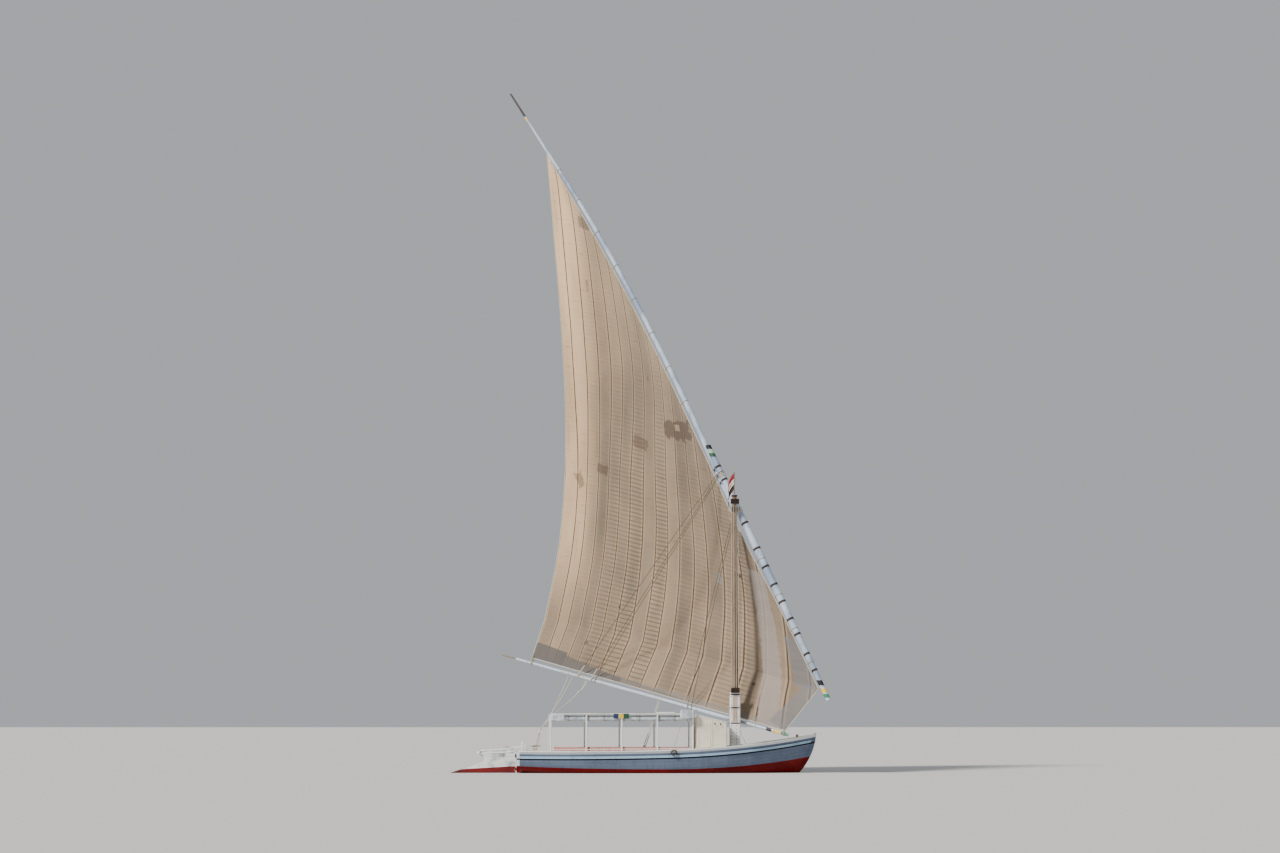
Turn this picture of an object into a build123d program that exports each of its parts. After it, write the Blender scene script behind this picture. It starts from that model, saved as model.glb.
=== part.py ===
"""River felucca with one lateen sail, modelled as an assembly.

Millimetres. X runs forward to the bow, Y to port, Z up. The origin is on the waterline, amidships on the
centreline. The rig is drawn in its own upright plane (x forward along the boom, y to port, z up) and turned
about the mast by the angle at which the boom lies in the photograph.
"""

import math
import os

from build123d import *

os.makedirs("parts", exist_ok=True)

FIT = 0.3  # clearance between pieces that seat on curved planking

# Hull planking, sheer line and backbone
PLANK = 40
TRANSOM = 60
STERN_X = -5630
SHEER = [(-5800, 805), (-2900, 800), (0, 845), (5850, 1460)]
HULL_REACH = 6500  # half length of the blocks that trim the hull
HULL_SPAN = 2400  # half width of the blocks that trim the hull
CAP_THICK = 45
CAP_OUT = 40
CAP_IN = 70
STRAKE_OUT = 32
STRAKE_TOP = 165
STRAKE_TALL = 85
KEEL_HALF = 60
KEEL_Z = -640
STERNPOST_DEEP = 106
STERNPOST_TOP = 790

# Sections of the hull, stern to bow. Each lies in a plane through Y that leans from its foot to its head:
# foot x and z, head x and z, half widths at the keel, bilge and head, the bilge's height above the foot,
# and how far the bilge's bend runs along both sides of its corner.
STATIONS = [
    (STERN_X, -150, STERN_X, 925, 60, 1030, 1190, 330, 330),
    (-3700, -350, -3700, 915, 60, 1420, 1560, 330, 400),
    (-1300, -450, -1300, 935, 60, 1570, 1690, 330, 440),
    (1200, -450, 1200, 1010, 60, 1510, 1650, 340, 440),
    (3100, -430, 3230, 1180, 60, 1100, 1360, 430, 390),
    (4350, -330, 4680, 1350, 55, 560, 830, 570, 300),
    (4760, -230, 5250, 1450, 50, 270, 440, 700, 240),
    (5030, -110, 5735, 1560, 36, 62, 118, 800, 200),
]
STATION_STEPS = [2, 3, 2, 2, 2, 1, 1]  # sections faired in between each two rows of the table

# Inside of the hull
SOLE_Z = 100
SOLE_THICK = 30
SOLE_AFT = -4720
FRAME_DEEP = 45
FRAME_WIDE = 50
FRAME_X0 = -4500
FRAME_PITCH = 750
FRAME_COUNT = 9
FOREDECK_X = 2300
FOREDECK_DROP = 60
DECK_THICK = 30
SIDE_DECK_DROP = 30
SIDE_DECK_IN = 1270
SIDE_DECK_AFT = -4700
STERN_DECK_Z = 600
STERN_DECK_X = -4750
BULKHEAD = 25
BENCH_IN = 860
BENCH_Z = 480
BENCH_PANEL = 25
BENCH_AFT = -4650
BENCH_FORE = 950
CUSHION_THICK = 90
CUSHION_IN = 880
CUSHION_OUT = 1240
CUSHION_AFT = -4300
CUSHION_COUNT = 4
CUSHION_GAP = 20
BACK_THICK = 80
BACK_TALL = 420

# Canopy: steel posts and rails, a flat roof, rolled side curtains
POST_X0 = -4450
POST_PITCH = 1352
POST_COUNT = 5
POST_Y = 1305
POST_R = 30
RAIL_R = 24
CROSS_R = 19
ROOF_TOP = 2285
ROOF_THICK = 28
ROOF_OVER = 45
ROLL_R = 112
ROLL_DROP = 10
PANEL_SIZE = (580, 18, 180)
PANEL_X = -1780
BUNDLES = [(-4200, 540, 190, 285, 2111), (745, 570, 190, 350, 2240)]  # middle x, long, wide, tall, middle z
GUARD_R = 15
GUARD_BAR_R = 9
GUARD_AFT_Z = 885
GUARD_FORE_Z = 935
GUARD_STEPS = 4

# Cuddy between the canopy and the mast
CUDDY_AFT = 1120
CUDDY_FORE = 2250
CUDDY_HALF = 1250
CUDDY_WALL = 22
CUDDY_AFT_Z = 2205
CUDDY_FORE_Z = 1925
CUDDY_ROOF = 24
CUDDY_EAVE = 25
CUDDY_DOOR = 640
CUDDY_SILL = 260

# Mast and tabernacle
MAST_X = 2660
MAST_FOOT = -240
MAST_TOP = 10700
MAST_R = 130
MAST_TOP_R = 92
STEP_SIZE = (520, 360)
STEP_DEEP = 160
CHEEK_WIDE = 400
CHEEK_THICK = 52
CHEEK_TOP = 3080
CHEEK_CHAMFER = 28
STRAP_Z = [1900, 2490, 3000]
STRAP_TALL = 46
STRAP_THICK = 9
BRACE_R = 28
BRACE_TOP = 1600
BRACE_REACH = 560
BRACE_Y = 235
STAFF_R = 16
STAFF_TALL = 900
FLAG_THICK = 50
TACKLE_X = [-125, -40, 45, 125]
TACKLE_Y = -235
TACKLE_R = 11
TACKLE_FOOT = 3250
TACKLE_HEAD = 10350
BLOCK_SIZE = (330, 90, 190)

# Stern: rail, rudder and its fittings
HINGE_X = -5762
STERN_RAIL_R = 23
STERN_RAIL_Y = 980
STERN_RAIL_Z = 1190
STERN_RAIL_FORE = -4990
RUDDER_THICK = 84
RUDDER_FACE = 24
RUDDER_HEAD = 945
RUDDER_FOOT = -1230
GUDGEON_Z = [-400, 120, 620]
GUDGEON_TALL = 70
GUDGEON_R = 34
PIN_R = 14
PIN_PLAY = 0.5
PINTLE_TALL = 60
TILLER_LONG = 1080
TILLER_RISE = 70
TILLER_WIDE = 70
KNOB_R = 68

# Bow fittings
BITT_X = 5060
BITT_R = 48
BITT_TALL = 180
BITT_BASE_R = 78
BITT_BASE_TALL = 14
FENDER_X = 210
FENDER_R = 92
FENDER_TUBE = 27

# Rig, in its own plane: s forward of the mast axis, z above the water
RIG_YAW = -35
RIG_OFFSET = 350
LOWER_SPAR = [(3944, 2757, 92), (1700, 6932, 140), (100, 9909, 132), (-1410, 12719, 104)]
UPPER_SHIFT = 145
UPPER_SPAR = [
    (-143, 9950, 88),
    (-1244, 12000, 100),
    (-2120, 13760, 102),
    (-4360, 17790, 96),
    (-6935, 21935, 82),
    (-9020, 24915, 62),
    (-10910, 27560, 34),
]
LOWER_STEPS = [2, 2, 2]  # stations faired in between each two of the lower spar
UPPER_STEPS = [2, 2, 2, 2, 2, 1]
BOOM_FORE = (2151, 1452)
BOOM_AFT = (-10440, 4474)
BOOM_R = [62, 75, 50]
BOOM_TIP_LONG = 690
BOOM_TIP_R = 24
SAIL_THICK = 12
# Rows of the sail from foot to peak: the fore end's s, y and z, the leech's s, y and z, and the belly between.
SAIL_ROWS = [
    (2030, 0, 1610, -9720, 60, 4510, 40),
    (3500, 0, 3200, -9585, 800, 6130, 750),
    (1860, 0, 6200, -9420, 1500, 8900, 850),
    (60, 70, 9200, -9350, 1850, 11700, 800),
    (-1770, 145, 12600, -9320, 1850, 14600, 650),
    (-3870, 145, 16500, -9260, 1450, 17900, 450),
    (-6250, 145, 20500, -9200, 850, 21300, 250),
    (-8930, 145, 24600, -9130, 170, 24950, 20),
]
SAIL_STEPS = [2, 2, 2, 2, 2, 2]  # rows faired in between each two rows above the tack
LASH_Z = [11850, 11600, 11330, 9600, 8600, 7890, 7190, 6530, 5860, 5280, 4520, 3900]
ROBAND_Z = [24200, 22900, 21500, 20100, 18700, 17300, 15900, 14500, 8200, 6800, 5500, 4200]
ROBAND_R = 11
ROBAND_TAIL = 8
LASH_WALL = 12
LASH_WIDE = 60
PARREL_Z = 10150
PARREL_TALL = 150
PARREL_WALL = 30
PARREL_PLAY = 8


def edge_line(a, b):
    return Edge.make_line(Vector(*a), Vector(*b))


def rod(a, b, radius, radius_b=None):
    """Round bar from point a to point b."""
    a, b = Vector(*a), Vector(*b)
    plane = Plane(origin=a, z_dir=b - a)
    if radius_b is None:
        return Solid.make_cylinder(radius, (b - a).length, plane)
    return Solid.make_cone(radius, radius_b, (b - a).length, plane)


def block(x0, x1, y0, y1, z0, z1):
    """Box between two corners."""
    return Pos((x0 + x1) / 2, (y0 + y1) / 2, (z0 + z1) / 2) * Box(x1 - x0, y1 - y0, z1 - z0)


def both_sides(shape):
    """The shape and its mirror image across the centreline."""
    return Compound([*shape.solids(), *mirror(shape, Plane.XZ).solids()])


def group(*shapes):
    """One compound that holds the solids of all the shapes."""
    return Compound([solid for shape in shapes for solid in shape.solids()])


# Section of the hull as a closed loop of lines and arcs, moved inward by a wall and lengthened to its rim
def hull_section(station, wall=0.0, shift=0.0):
    foot_x, foot_z, head_x, head_z, keel, bilge, head, rise, run = station
    height = math.hypot(head_x - foot_x, head_z - foot_z)
    up = ((head_x - foot_x) / height, (head_z - foot_z) / height)

    def inward(p, q):
        """The line from p to q, moved by the wall towards the centreline and the rim."""
        dy, du = q[0] - p[0], q[1] - p[1]
        size = math.hypot(dy, du)
        ny, nu = -du / size * wall, dy / size * wall
        return (p[0] + ny, p[1] + nu), (q[0] + ny, q[1] + nu)

    def at_y(line, y):
        (y0, u0), (y1, u1) = line
        return y, u0 + (u1 - u0) * (y - y0) / (y1 - y0)

    floor = inward((keel, 0.0), (bilge, rise))
    side = inward((bilge, rise), (head, height))
    (ay, au), (by, bu) = floor
    (cy, cu), (dy, du) = side
    turn = (by - ay) * (du - cu) - (bu - au) * (dy - cy)
    along = ((cy - ay) * (du - cu) - (cu - au) * (dy - cy)) / turn
    corner = (ay + (by - ay) * along, au + (bu - au) * along)
    low = at_y(floor, keel)
    high = (cy + (dy - cy) * (height - cu) / (du - cu), height)

    def towards(p):
        size = math.hypot(p[0] - corner[0], p[1] - corner[1])
        return ((p[0] - corner[0]) / size, (p[1] - corner[1]) / size)

    to_low, to_high = towards(low), towards(high)
    bend_0 = (corner[0] + to_low[0] * run, corner[1] + to_low[1] * run)
    bend_1 = (corner[0] + to_high[0] * run, corner[1] + to_high[1] * run)
    opening = math.acos(max(-1.0, min(1.0, to_low[0] * to_high[0] + to_low[1] * to_high[1])))
    radius = run * math.tan(opening / 2)
    inset = radius / math.sin(opening / 2) - radius
    middle = (to_low[0] + to_high[0], to_low[1] + to_high[1])
    size = math.hypot(*middle)
    bend_m = (corner[0] + middle[0] / size * inset, corner[1] + middle[1] / size * inset)

    def place(p, sign):
        return Vector(foot_x + shift + up[0] * p[1], sign * p[0], foot_z + up[1] * p[1])

    edges = []
    for sign in (1, -1):
        a, b, c, d, e = (place(p, sign) for p in (low, bend_0, bend_m, bend_1, high))
        side_edges = [
            Edge.make_line(a, b),
            Edge.make_three_point_arc(b, c, d),
            Edge.make_line(d, e),
        ]
        if sign > 0:
            edges += side_edges + [Edge.make_line(e, place(high, -1))]
        else:
            edges += [Edge.make_line(e, d), Edge.make_three_point_arc(d, c, b), Edge.make_line(b, a)]
    edges.append(Edge.make_line(place(low, -1), place(low, 1)))
    return Wire(edges)


def faired(table, steps):
    """The table's rows with rows in between, on a cubic through their neighbours."""
    rows = [table[0], *table, table[-1]]
    result = []
    for i, count in enumerate(steps):
        for k in range(count):
            t = k / count
            row = []
            for a, b, c, d in zip(*rows[i : i + 4]):
                curve = (2 * a - 5 * b + 4 * c - d) * t * t + (3 * b - a - 3 * c + d) * t**3
                row.append(0.5 * (2 * b + (c - a) * t + curve))
            result.append(tuple(row))
    return [*result, table[-1]]


def hull_solid(wall=0.0, to_stem=True):
    """The hull's form moved inward by the wall, or outward where the wall is negative."""
    stations = faired(STATIONS, STATION_STEPS)
    sections = []
    for i, station in enumerate(stations if to_stem else stations[:-1]):
        shift = (TRANSOM if wall > 0 else wall) if i == 0 else 0.0
        sections.append(hull_section(station, wall, shift))
    return Solid.make_loft(sections, True)


# Sheer line: two tangent arcs in the centreline plane, lowered by a drop
def sheer_edges(drop):
    (x0, z0), (x1, z1), (x2, z2), (x3, z3) = SHEER
    aft = Edge.make_three_point_arc(Vector(x0, 0, z0), Vector(x1, 0, z1), Vector(x2, 0, z2))
    fore = Edge.make_tangent_arc(aft.position_at(1), aft.tangent_at(1), Vector(x3, 0, z3))
    return [e.moved(Location((0, 0, -drop))) for e in (aft, fore)]


def sheer_band(top_drop, bottom_drop=None, floor=None):
    """Slab across the boat between two lowered sheer lines, or down to a level floor."""
    top = sheer_edges(top_drop)
    start, end = top[0].position_at(0), top[1].position_at(1)
    if floor is None:
        low = sheer_edges(bottom_drop)
        low_start, low_end = low[0].position_at(0), low[1].position_at(1)
    else:
        low_start, low_end = Vector(start.X, 0, floor), Vector(end.X, 0, floor)
        low = [Edge.make_line(low_start, low_end)]
    outline = Wire([*top, Edge.make_line(end, low_end), *low, Edge.make_line(low_start, start)])
    face = Face(outline).moved(Location((0, -HULL_SPAN, 0)))
    return Solid.extrude(face, Vector(0, 2 * HULL_SPAN, 0))


def sheer_height(x, drop=0.0):
    """Height of the lowered sheer line at x."""
    for edge in sheer_edges(drop):
        if edge.position_at(0).X <= x <= edge.position_at(1).X:
            low, high = 0.0, 1.0
            for _ in range(40):
                mid = (low + high) / 2
                if edge.position_at(mid).X < x:
                    low = mid
                else:
                    high = mid
            return edge.position_at(low).Z
    raise ValueError("x lies outside the sheer line")


# Hull shell: planking with its transom, open above the sheer
outer = hull_solid()
inner = hull_solid(PLANK, to_stem=False)
inner_fit = hull_solid(PLANK + FIT, to_stem=False)
below_sheer = sheer_band(0, floor=KEEL_Z - 200)
hull_shell = (outer - inner) & below_sheer

# Gunwale cap and rubbing strake, both bent round the outside of the planking
cap_block = hull_solid(-CAP_OUT) - hull_solid(CAP_IN, to_stem=False)
gunwale_cap = cap_block & sheer_band(-CAP_THICK, 0)
strake_block = hull_solid(-STRAKE_OUT) - outer
rub_strake = strake_block & sheer_band(STRAKE_TOP, STRAKE_TOP + STRAKE_TALL)
rub_strake = rub_strake - block(STERN_X - 200, STERN_X, -HULL_SPAN, HULL_SPAN, -1000, 2000)

# Backbone: keel, raked stem and sternpost
stem_points = [(5800, 1530), (5590, 690), (5190, 60)]
stem_out = Edge.make_three_point_arc(*(Vector(x, 0, z) for x, z in stem_points))
fore_foot = Edge.make_tangent_arc(stem_out.position_at(1), stem_out.tangent_at(1), Vector(4150, 0, KEEL_Z))
stem_back = [(4150, KEEL_Z), (4150, -300), (4900, 100), (5350, 1200), (5600, 1530), stem_points[0]]
stem_wire = Wire(
    [stem_out, fore_foot]
    + [edge_line((a[0], 0, a[1]), (b[0], 0, b[1])) for a, b in zip(stem_back, stem_back[1:])]
)
stem_face = Face(stem_wire).moved(Location((0, -KEEL_HALF, 0)))
stem = Solid.extrude(stem_face, Vector(0, 2 * KEEL_HALF, 0)) - hull_solid(-FIT)
stem = stem.solids().sort_by(SortBy.VOLUME)[-1]
sternpost_x = STERN_X - STERNPOST_DEEP
keel = block(STERN_X, 4150 - FIT, -KEEL_HALF, KEEL_HALF, KEEL_Z, 200) - hull_solid(-FIT)
keel = keel.solids().sort_by(SortBy.VOLUME)[-1]
sternpost = block(sternpost_x, STERN_X - FIT, -KEEL_HALF, KEEL_HALF, KEEL_Z, STERNPOST_TOP)

# Frames, sole and decks inside the planking
frame_ring = inner_fit - hull_solid(PLANK + FRAME_DEEP, to_stem=False)
frame_slabs = Compound(
    [
        block(x, x + FRAME_WIDE, -HULL_SPAN, HULL_SPAN, -1000, SOLE_Z - FIT).solid()
        for x in (FRAME_X0 + i * FRAME_PITCH for i in range(FRAME_COUNT))
    ]
)
frames = frame_ring & frame_slabs
sole = inner_fit & block(SOLE_AFT, FOREDECK_X, -HULL_SPAN, HULL_SPAN, SOLE_Z, SOLE_Z + SOLE_THICK)
sole_top = SOLE_Z + SOLE_THICK
deck_band = sheer_band(FOREDECK_DROP, FOREDECK_DROP + DECK_THICK)
foredeck = inner_fit & deck_band & block(FOREDECK_X, HULL_REACH, -HULL_SPAN, HULL_SPAN, -1000, 3000)
side_band = sheer_band(SIDE_DECK_DROP, SIDE_DECK_DROP + DECK_THICK)
side_length = block(SIDE_DECK_AFT, FOREDECK_X - FIT, SIDE_DECK_IN, HULL_SPAN, 0, 3000)
side_decks = both_sides(inner_fit & side_band & side_length)
stern_deck = inner_fit & block(
    STERN_X, STERN_DECK_X, -HULL_SPAN, HULL_SPAN, STERN_DECK_Z, STERN_DECK_Z + DECK_THICK
)
aft_bulkhead = inner_fit & block(
    STERN_DECK_X - BULKHEAD, STERN_DECK_X, -HULL_SPAN, HULL_SPAN, -700, STERN_DECK_Z
)
fore_bulkhead = inner_fit & block(FOREDECK_X, FOREDECK_X + BULKHEAD, -HULL_SPAN, HULL_SPAN, -700, 3000)
fore_bulkhead = fore_bulkhead & sheer_band(FOREDECK_DROP + DECK_THICK, floor=-700)

# Benches along both sides with seat and back cushions
bench_top = block(BENCH_AFT, BENCH_FORE, BENCH_IN, HULL_SPAN, BENCH_Z - BENCH_PANEL, BENCH_Z)
bench_front = block(
    BENCH_AFT, BENCH_FORE, BENCH_IN, BENCH_IN + BENCH_PANEL, sole_top, BENCH_Z - BENCH_PANEL
)
benches = both_sides(inner_fit & (bench_top + bench_front))
cushion_run = (BENCH_FORE - CUSHION_AFT - CUSHION_GAP * (CUSHION_COUNT + 1)) / CUSHION_COUNT
seat_pads = []
back_pads = []
for i in range(CUSHION_COUNT):
    x0 = CUSHION_AFT + CUSHION_GAP + i * (cushion_run + CUSHION_GAP)
    x1 = x0 + cushion_run
    seat = block(x0, x1, CUSHION_IN, CUSHION_OUT, BENCH_Z + FIT, BENCH_Z + CUSHION_THICK)
    back_out = SIDE_DECK_IN - FIT
    back_z = BENCH_Z + CUSHION_THICK + FIT
    back = block(x0, x1, back_out - BACK_THICK, back_out, back_z, back_z + BACK_TALL)
    seat_pads.append(fillet(seat.edges().filter_by(Axis.X), CUSHION_THICK * 0.3))
    back_pads.append(fillet(back.edges().filter_by(Axis.X), BACK_THICK * 0.35))
seat_cushions = both_sides(group(*seat_pads))
back_cushions = both_sides(group(*back_pads))

# Canopy: posts on the side decks, side and cross rails, roof, curtain rolls
rail_z = ROOF_TOP - ROOF_THICK - RAIL_R
deck_cut = sheer_band(SIDE_DECK_DROP, floor=0)
post_x = [POST_X0 + i * POST_PITCH for i in range(POST_COUNT)]
canopy_frame = rod((post_x[0] - RAIL_R, POST_Y, rail_z), (post_x[-1] + RAIL_R, POST_Y, rail_z), RAIL_R)
for x in post_x:
    canopy_frame += rod((x, POST_Y, 500), (x, POST_Y, rail_z), POST_R) - deck_cut
canopy_frame = both_sides(canopy_frame)
port_frame, starboard_frame = canopy_frame.solids()
canopy_frame = port_frame + starboard_frame
for x in post_x:
    canopy_frame += rod((x, -POST_Y + 5, rail_z), (x, POST_Y - 5, rail_z), CROSS_R)
roof_half = POST_Y + ROOF_OVER
canopy_roof = block(
    post_x[0] - ROOF_OVER, post_x[-1] + RAIL_R, -roof_half, roof_half, ROOF_TOP - ROOF_THICK, ROOF_TOP
)
canopy_roof = fillet(canopy_roof.edges().filter_by(Axis.Z), ROOF_OVER * 0.8)
roll_y = POST_Y - POST_R - ROLL_R - FIT
roll_z = rail_z - RAIL_R - ROLL_DROP - ROLL_R
roll = rod((post_x[0] + 40, roll_y, roll_z), (post_x[-1] - 40, roll_y, roll_z), ROLL_R)
curtain_rolls = both_sides(roll)
panel_long, panel_thick, panel_tall = PANEL_SIZE
panel_y = -(POST_Y + POST_R + FIT)
canopy_panel = block(
    PANEL_X - panel_long / 2,
    PANEL_X + panel_long / 2,
    panel_y - panel_thick,
    panel_y,
    rail_z - panel_tall + RAIL_R,
    rail_z + RAIL_R,
)
bundle_solids = []
for mid_x, long, wide, tall, mid_z in BUNDLES:
    under_roof = mid_z + tall / 2 < ROOF_TOP - ROOF_THICK
    y1 = -(POST_Y + POST_R + FIT if under_roof else roof_half + FIT)
    bundle = block(mid_x - long / 2, mid_x + long / 2, y1 - wide, y1, mid_z - tall / 2, mid_z + tall / 2)
    bundle_solids.append(fillet(bundle.edges().filter_by(Axis.X), wide * 0.35))
curtain_bundles = group(*bundle_solids)

# Low guard rail on the side decks
guard = rod((post_x[0], POST_Y, GUARD_AFT_Z), (post_x[-1], POST_Y, GUARD_FORE_Z), GUARD_R)
for i in range(GUARD_STEPS * (POST_COUNT - 1)):
    if i % GUARD_STEPS:
        x = post_x[0] + i * POST_PITCH / GUARD_STEPS
        z = GUARD_AFT_Z + (GUARD_FORE_Z - GUARD_AFT_Z) * (x - post_x[0]) / (post_x[-1] - post_x[0])
        guard += rod((x, POST_Y, 600), (x, POST_Y, z), GUARD_BAR_R) - deck_cut
for x in post_x:
    guard -= rod((x, POST_Y, 600), (x, POST_Y, 1200), POST_R + FIT)
guard_rails = both_sides(guard)

# Cuddy: four walls with a doorway aft, under a roof that slopes down to the bow
slope = (CUDDY_AFT_Z - CUDDY_FORE_Z) / (CUDDY_FORE - CUDDY_AFT)


def cuddy_prism(half, x0, x1, floor, lift):
    """Solid between the floor and the roof's slope, lifted by a distance."""
    points = [
        (x0, floor),
        (x1, floor),
        (x1, CUDDY_AFT_Z - slope * (x1 - CUDDY_AFT) + lift),
        (x0, CUDDY_AFT_Z - slope * (x0 - CUDDY_AFT) + lift),
    ]
    outline = Wire.make_polygon([Vector(x, -half, z) for x, z in points], close=True)
    return Solid.extrude(Face(outline), Vector(0, 2 * half, 0))


cuddy_walls = cuddy_prism(CUDDY_HALF, CUDDY_AFT, CUDDY_FORE, sole_top, 0) - cuddy_prism(
    CUDDY_HALF - CUDDY_WALL, CUDDY_AFT + CUDDY_WALL, CUDDY_FORE - CUDDY_WALL, sole_top - 50, 50
)
cuddy_walls -= block(
    CUDDY_AFT - 50, CUDDY_AFT + CUDDY_WALL + 50, -CUDDY_DOOR / 2, CUDDY_DOOR / 2, CUDDY_SILL, 1950
)
cuddy_walls = cuddy_walls - (outer - inner_fit)
cuddy_walls = cuddy_walls.solids().sort_by(SortBy.VOLUME)[-1]
eave = CUDDY_HALF + CUDDY_EAVE
cuddy_roof = cuddy_prism(eave, CUDDY_AFT - CUDDY_EAVE, CUDDY_FORE + CUDDY_EAVE, 1000, CUDDY_ROOF) - cuddy_prism(
    eave + 100, CUDDY_AFT - 200, CUDDY_FORE + 200, 900, 0
)

# Mast: tapered pole in a tabernacle of two cheeks, straps and braces, stepped on the keelson
mast_step = inner_fit & block(
    MAST_X - STEP_SIZE[0] / 2,
    MAST_X + STEP_SIZE[0] / 2,
    -STEP_SIZE[1] / 2,
    STEP_SIZE[1] / 2,
    MAST_FOOT - STEP_DEEP - 200,
    MAST_FOOT,
)
mast = rod((MAST_X, 0, MAST_FOOT), (MAST_X, 0, CHEEK_TOP), MAST_R) + rod(
    (MAST_X, 0, CHEEK_TOP), (MAST_X, 0, MAST_TOP), MAST_R, MAST_TOP_R
)
cheek_y = MAST_R + FIT
cheek = block(
    MAST_X - CHEEK_WIDE / 2, MAST_X + CHEEK_WIDE / 2, cheek_y, cheek_y + CHEEK_THICK, MAST_FOOT, CHEEK_TOP
)
cheek = chamfer(
    cheek.edges().filter_by(Axis.Z).group_by(Axis.Y)[-1], CHEEK_CHAMFER
)
mast_cheeks = both_sides(cheek)
cheek_hole = block(
    MAST_X - CHEEK_WIDE / 2 - FIT,
    MAST_X + CHEEK_WIDE / 2 + FIT,
    -cheek_y - CHEEK_THICK - FIT,
    cheek_y + CHEEK_THICK + FIT,
    0,
    2000,
)
foredeck = foredeck - cheek_hole
strap_x = CHEEK_WIDE / 2
strap_solids = []
for z in STRAP_Z:
    for side in (-1, 1):
        x_in = MAST_X + side * (strap_x + FIT)
        x_out = x_in + side * STRAP_THICK
        strap_y = cheek_y + CHEEK_THICK - CHEEK_CHAMFER
        strap_solids.append(
            block(min(x_in, x_out), max(x_in, x_out), -strap_y, strap_y, z - STRAP_TALL / 2, z + STRAP_TALL / 2)
        )
mast_straps = group(*strap_solids)
brace_x = MAST_X + CHEEK_WIDE / 2
brace_foot = (brace_x + BRACE_REACH, BRACE_Y, 500)
brace = rod((brace_x + 20, 120, BRACE_TOP), brace_foot, BRACE_R)
brace = brace - sheer_band(FOREDECK_DROP, floor=0)
mast_braces = both_sides(brace - block(0, brace_x + STRAP_THICK, -500, 500, 0, 3000))

# Masthead: halyard blocks and falls, staff and flag
block_long, block_wide, block_tall = BLOCK_SIZE
head_block = block(
    MAST_X - block_long / 2,
    MAST_X + block_long / 2,
    TACKLE_Y - block_wide / 2,
    TACKLE_Y + block_wide / 2,
    TACKLE_HEAD,
    TACKLE_HEAD + block_tall,
)
mast_head_r = MAST_R + (MAST_TOP_R - MAST_R) * (TACKLE_HEAD - CHEEK_TOP) / (MAST_TOP - CHEEK_TOP)
head_arm = rod(
    (MAST_X, TACKLE_Y + block_wide / 2, TACKLE_HEAD + block_tall / 2),
    (MAST_X, -mast_head_r - FIT, TACKLE_HEAD + block_tall / 2),
    30,
)
foot_block = block(
    MAST_X - block_long / 2,
    MAST_X + block_long / 2,
    TACKLE_Y - block_wide / 2,
    TACKLE_Y + block_wide / 2,
    TACKLE_FOOT - block_tall,
    TACKLE_FOOT,
)
foot_arm = rod(
    (MAST_X, TACKLE_Y + block_wide / 2, TACKLE_FOOT - block_tall / 2),
    (MAST_X, -MAST_R - FIT, TACKLE_FOOT - block_tall / 2),
    30,
)
halyard_blocks = group(head_block + head_arm, foot_block + foot_arm)
halyard_falls = group(
    *[
        rod((MAST_X + dx, TACKLE_Y, TACKLE_FOOT), (MAST_X + dx, TACKLE_Y, TACKLE_HEAD), TACKLE_R)
        for dx in TACKLE_X
    ]
)
flag_staff = rod((MAST_X, 0, MAST_TOP), (MAST_X, 0, MAST_TOP + STAFF_TALL), STAFF_R)
flag_outline = [
    (-STAFF_R - FIT, 870),
    (-STAFF_R - FIT, 250),
    (-130, 50),
    (-160, -540),
    (-260, -470),
    (-280, 200),
    (-210, 800),
]
flag_wire = Wire.make_polygon(
    [Vector(MAST_X + x, -FLAG_THICK / 2, MAST_TOP + z) for x, z in flag_outline], close=True
)
flag = Solid.extrude(Face(flag_wire), Vector(0, FLAG_THICK, 0))
masthead_cap = rod((MAST_X, 0, MAST_TOP - 60), (MAST_X, 0, MAST_TOP - FIT), MAST_TOP_R + 22) - mast

# Bow and side fittings
bitt_base = sheer_height(BITT_X + BITT_BASE_R, FOREDECK_DROP) + BITT_BASE_TALL
bitt_foot = sheer_height(BITT_X - BITT_BASE_R, FOREDECK_DROP) - BITT_BASE_TALL
bitt_pad = rod((BITT_X, 0, bitt_foot), (BITT_X, 0, bitt_base), BITT_BASE_R)
bitt_post = rod((BITT_X, 0, bitt_foot), (BITT_X, 0, bitt_base + BITT_TALL), BITT_R)
bow_bitt = bitt_pad + bitt_post - sheer_band(FOREDECK_DROP, floor=0)
stern_y = STERN_RAIL_Y

# Stern rail: a hoop across the stern with side arms to the gunwale
rail_top = STERN_RAIL_Z
rail_x = STERN_X + CAP_IN + STERN_RAIL_R + FIT
hoop_points = [
    (rail_x, stern_y, STERN_DECK_Z + DECK_THICK),
    (rail_x, stern_y, rail_top),
    (rail_x, -stern_y, rail_top),
    (rail_x, -stern_y, STERN_DECK_Z + DECK_THICK),
]
stern_rail = rod(hoop_points[0], hoop_points[1], STERN_RAIL_R)
stern_rail += rod(hoop_points[1], hoop_points[2], STERN_RAIL_R)
stern_rail += rod(hoop_points[2], hoop_points[3], STERN_RAIL_R)
for side in (-1, 1):
    stern_rail += Pos(rail_x, side * stern_y, rail_top) * Sphere(STERN_RAIL_R)
    arm = rod(
        (rail_x, side * stern_y, rail_top),
        (STERN_RAIL_FORE, side * stern_y, STERN_DECK_Z - 100),
        STERN_RAIL_R,
    )
    stern_rail += arm - block(STERN_X, 0, -2000, 2000, 0, STERN_DECK_Z + DECK_THICK)

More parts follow.
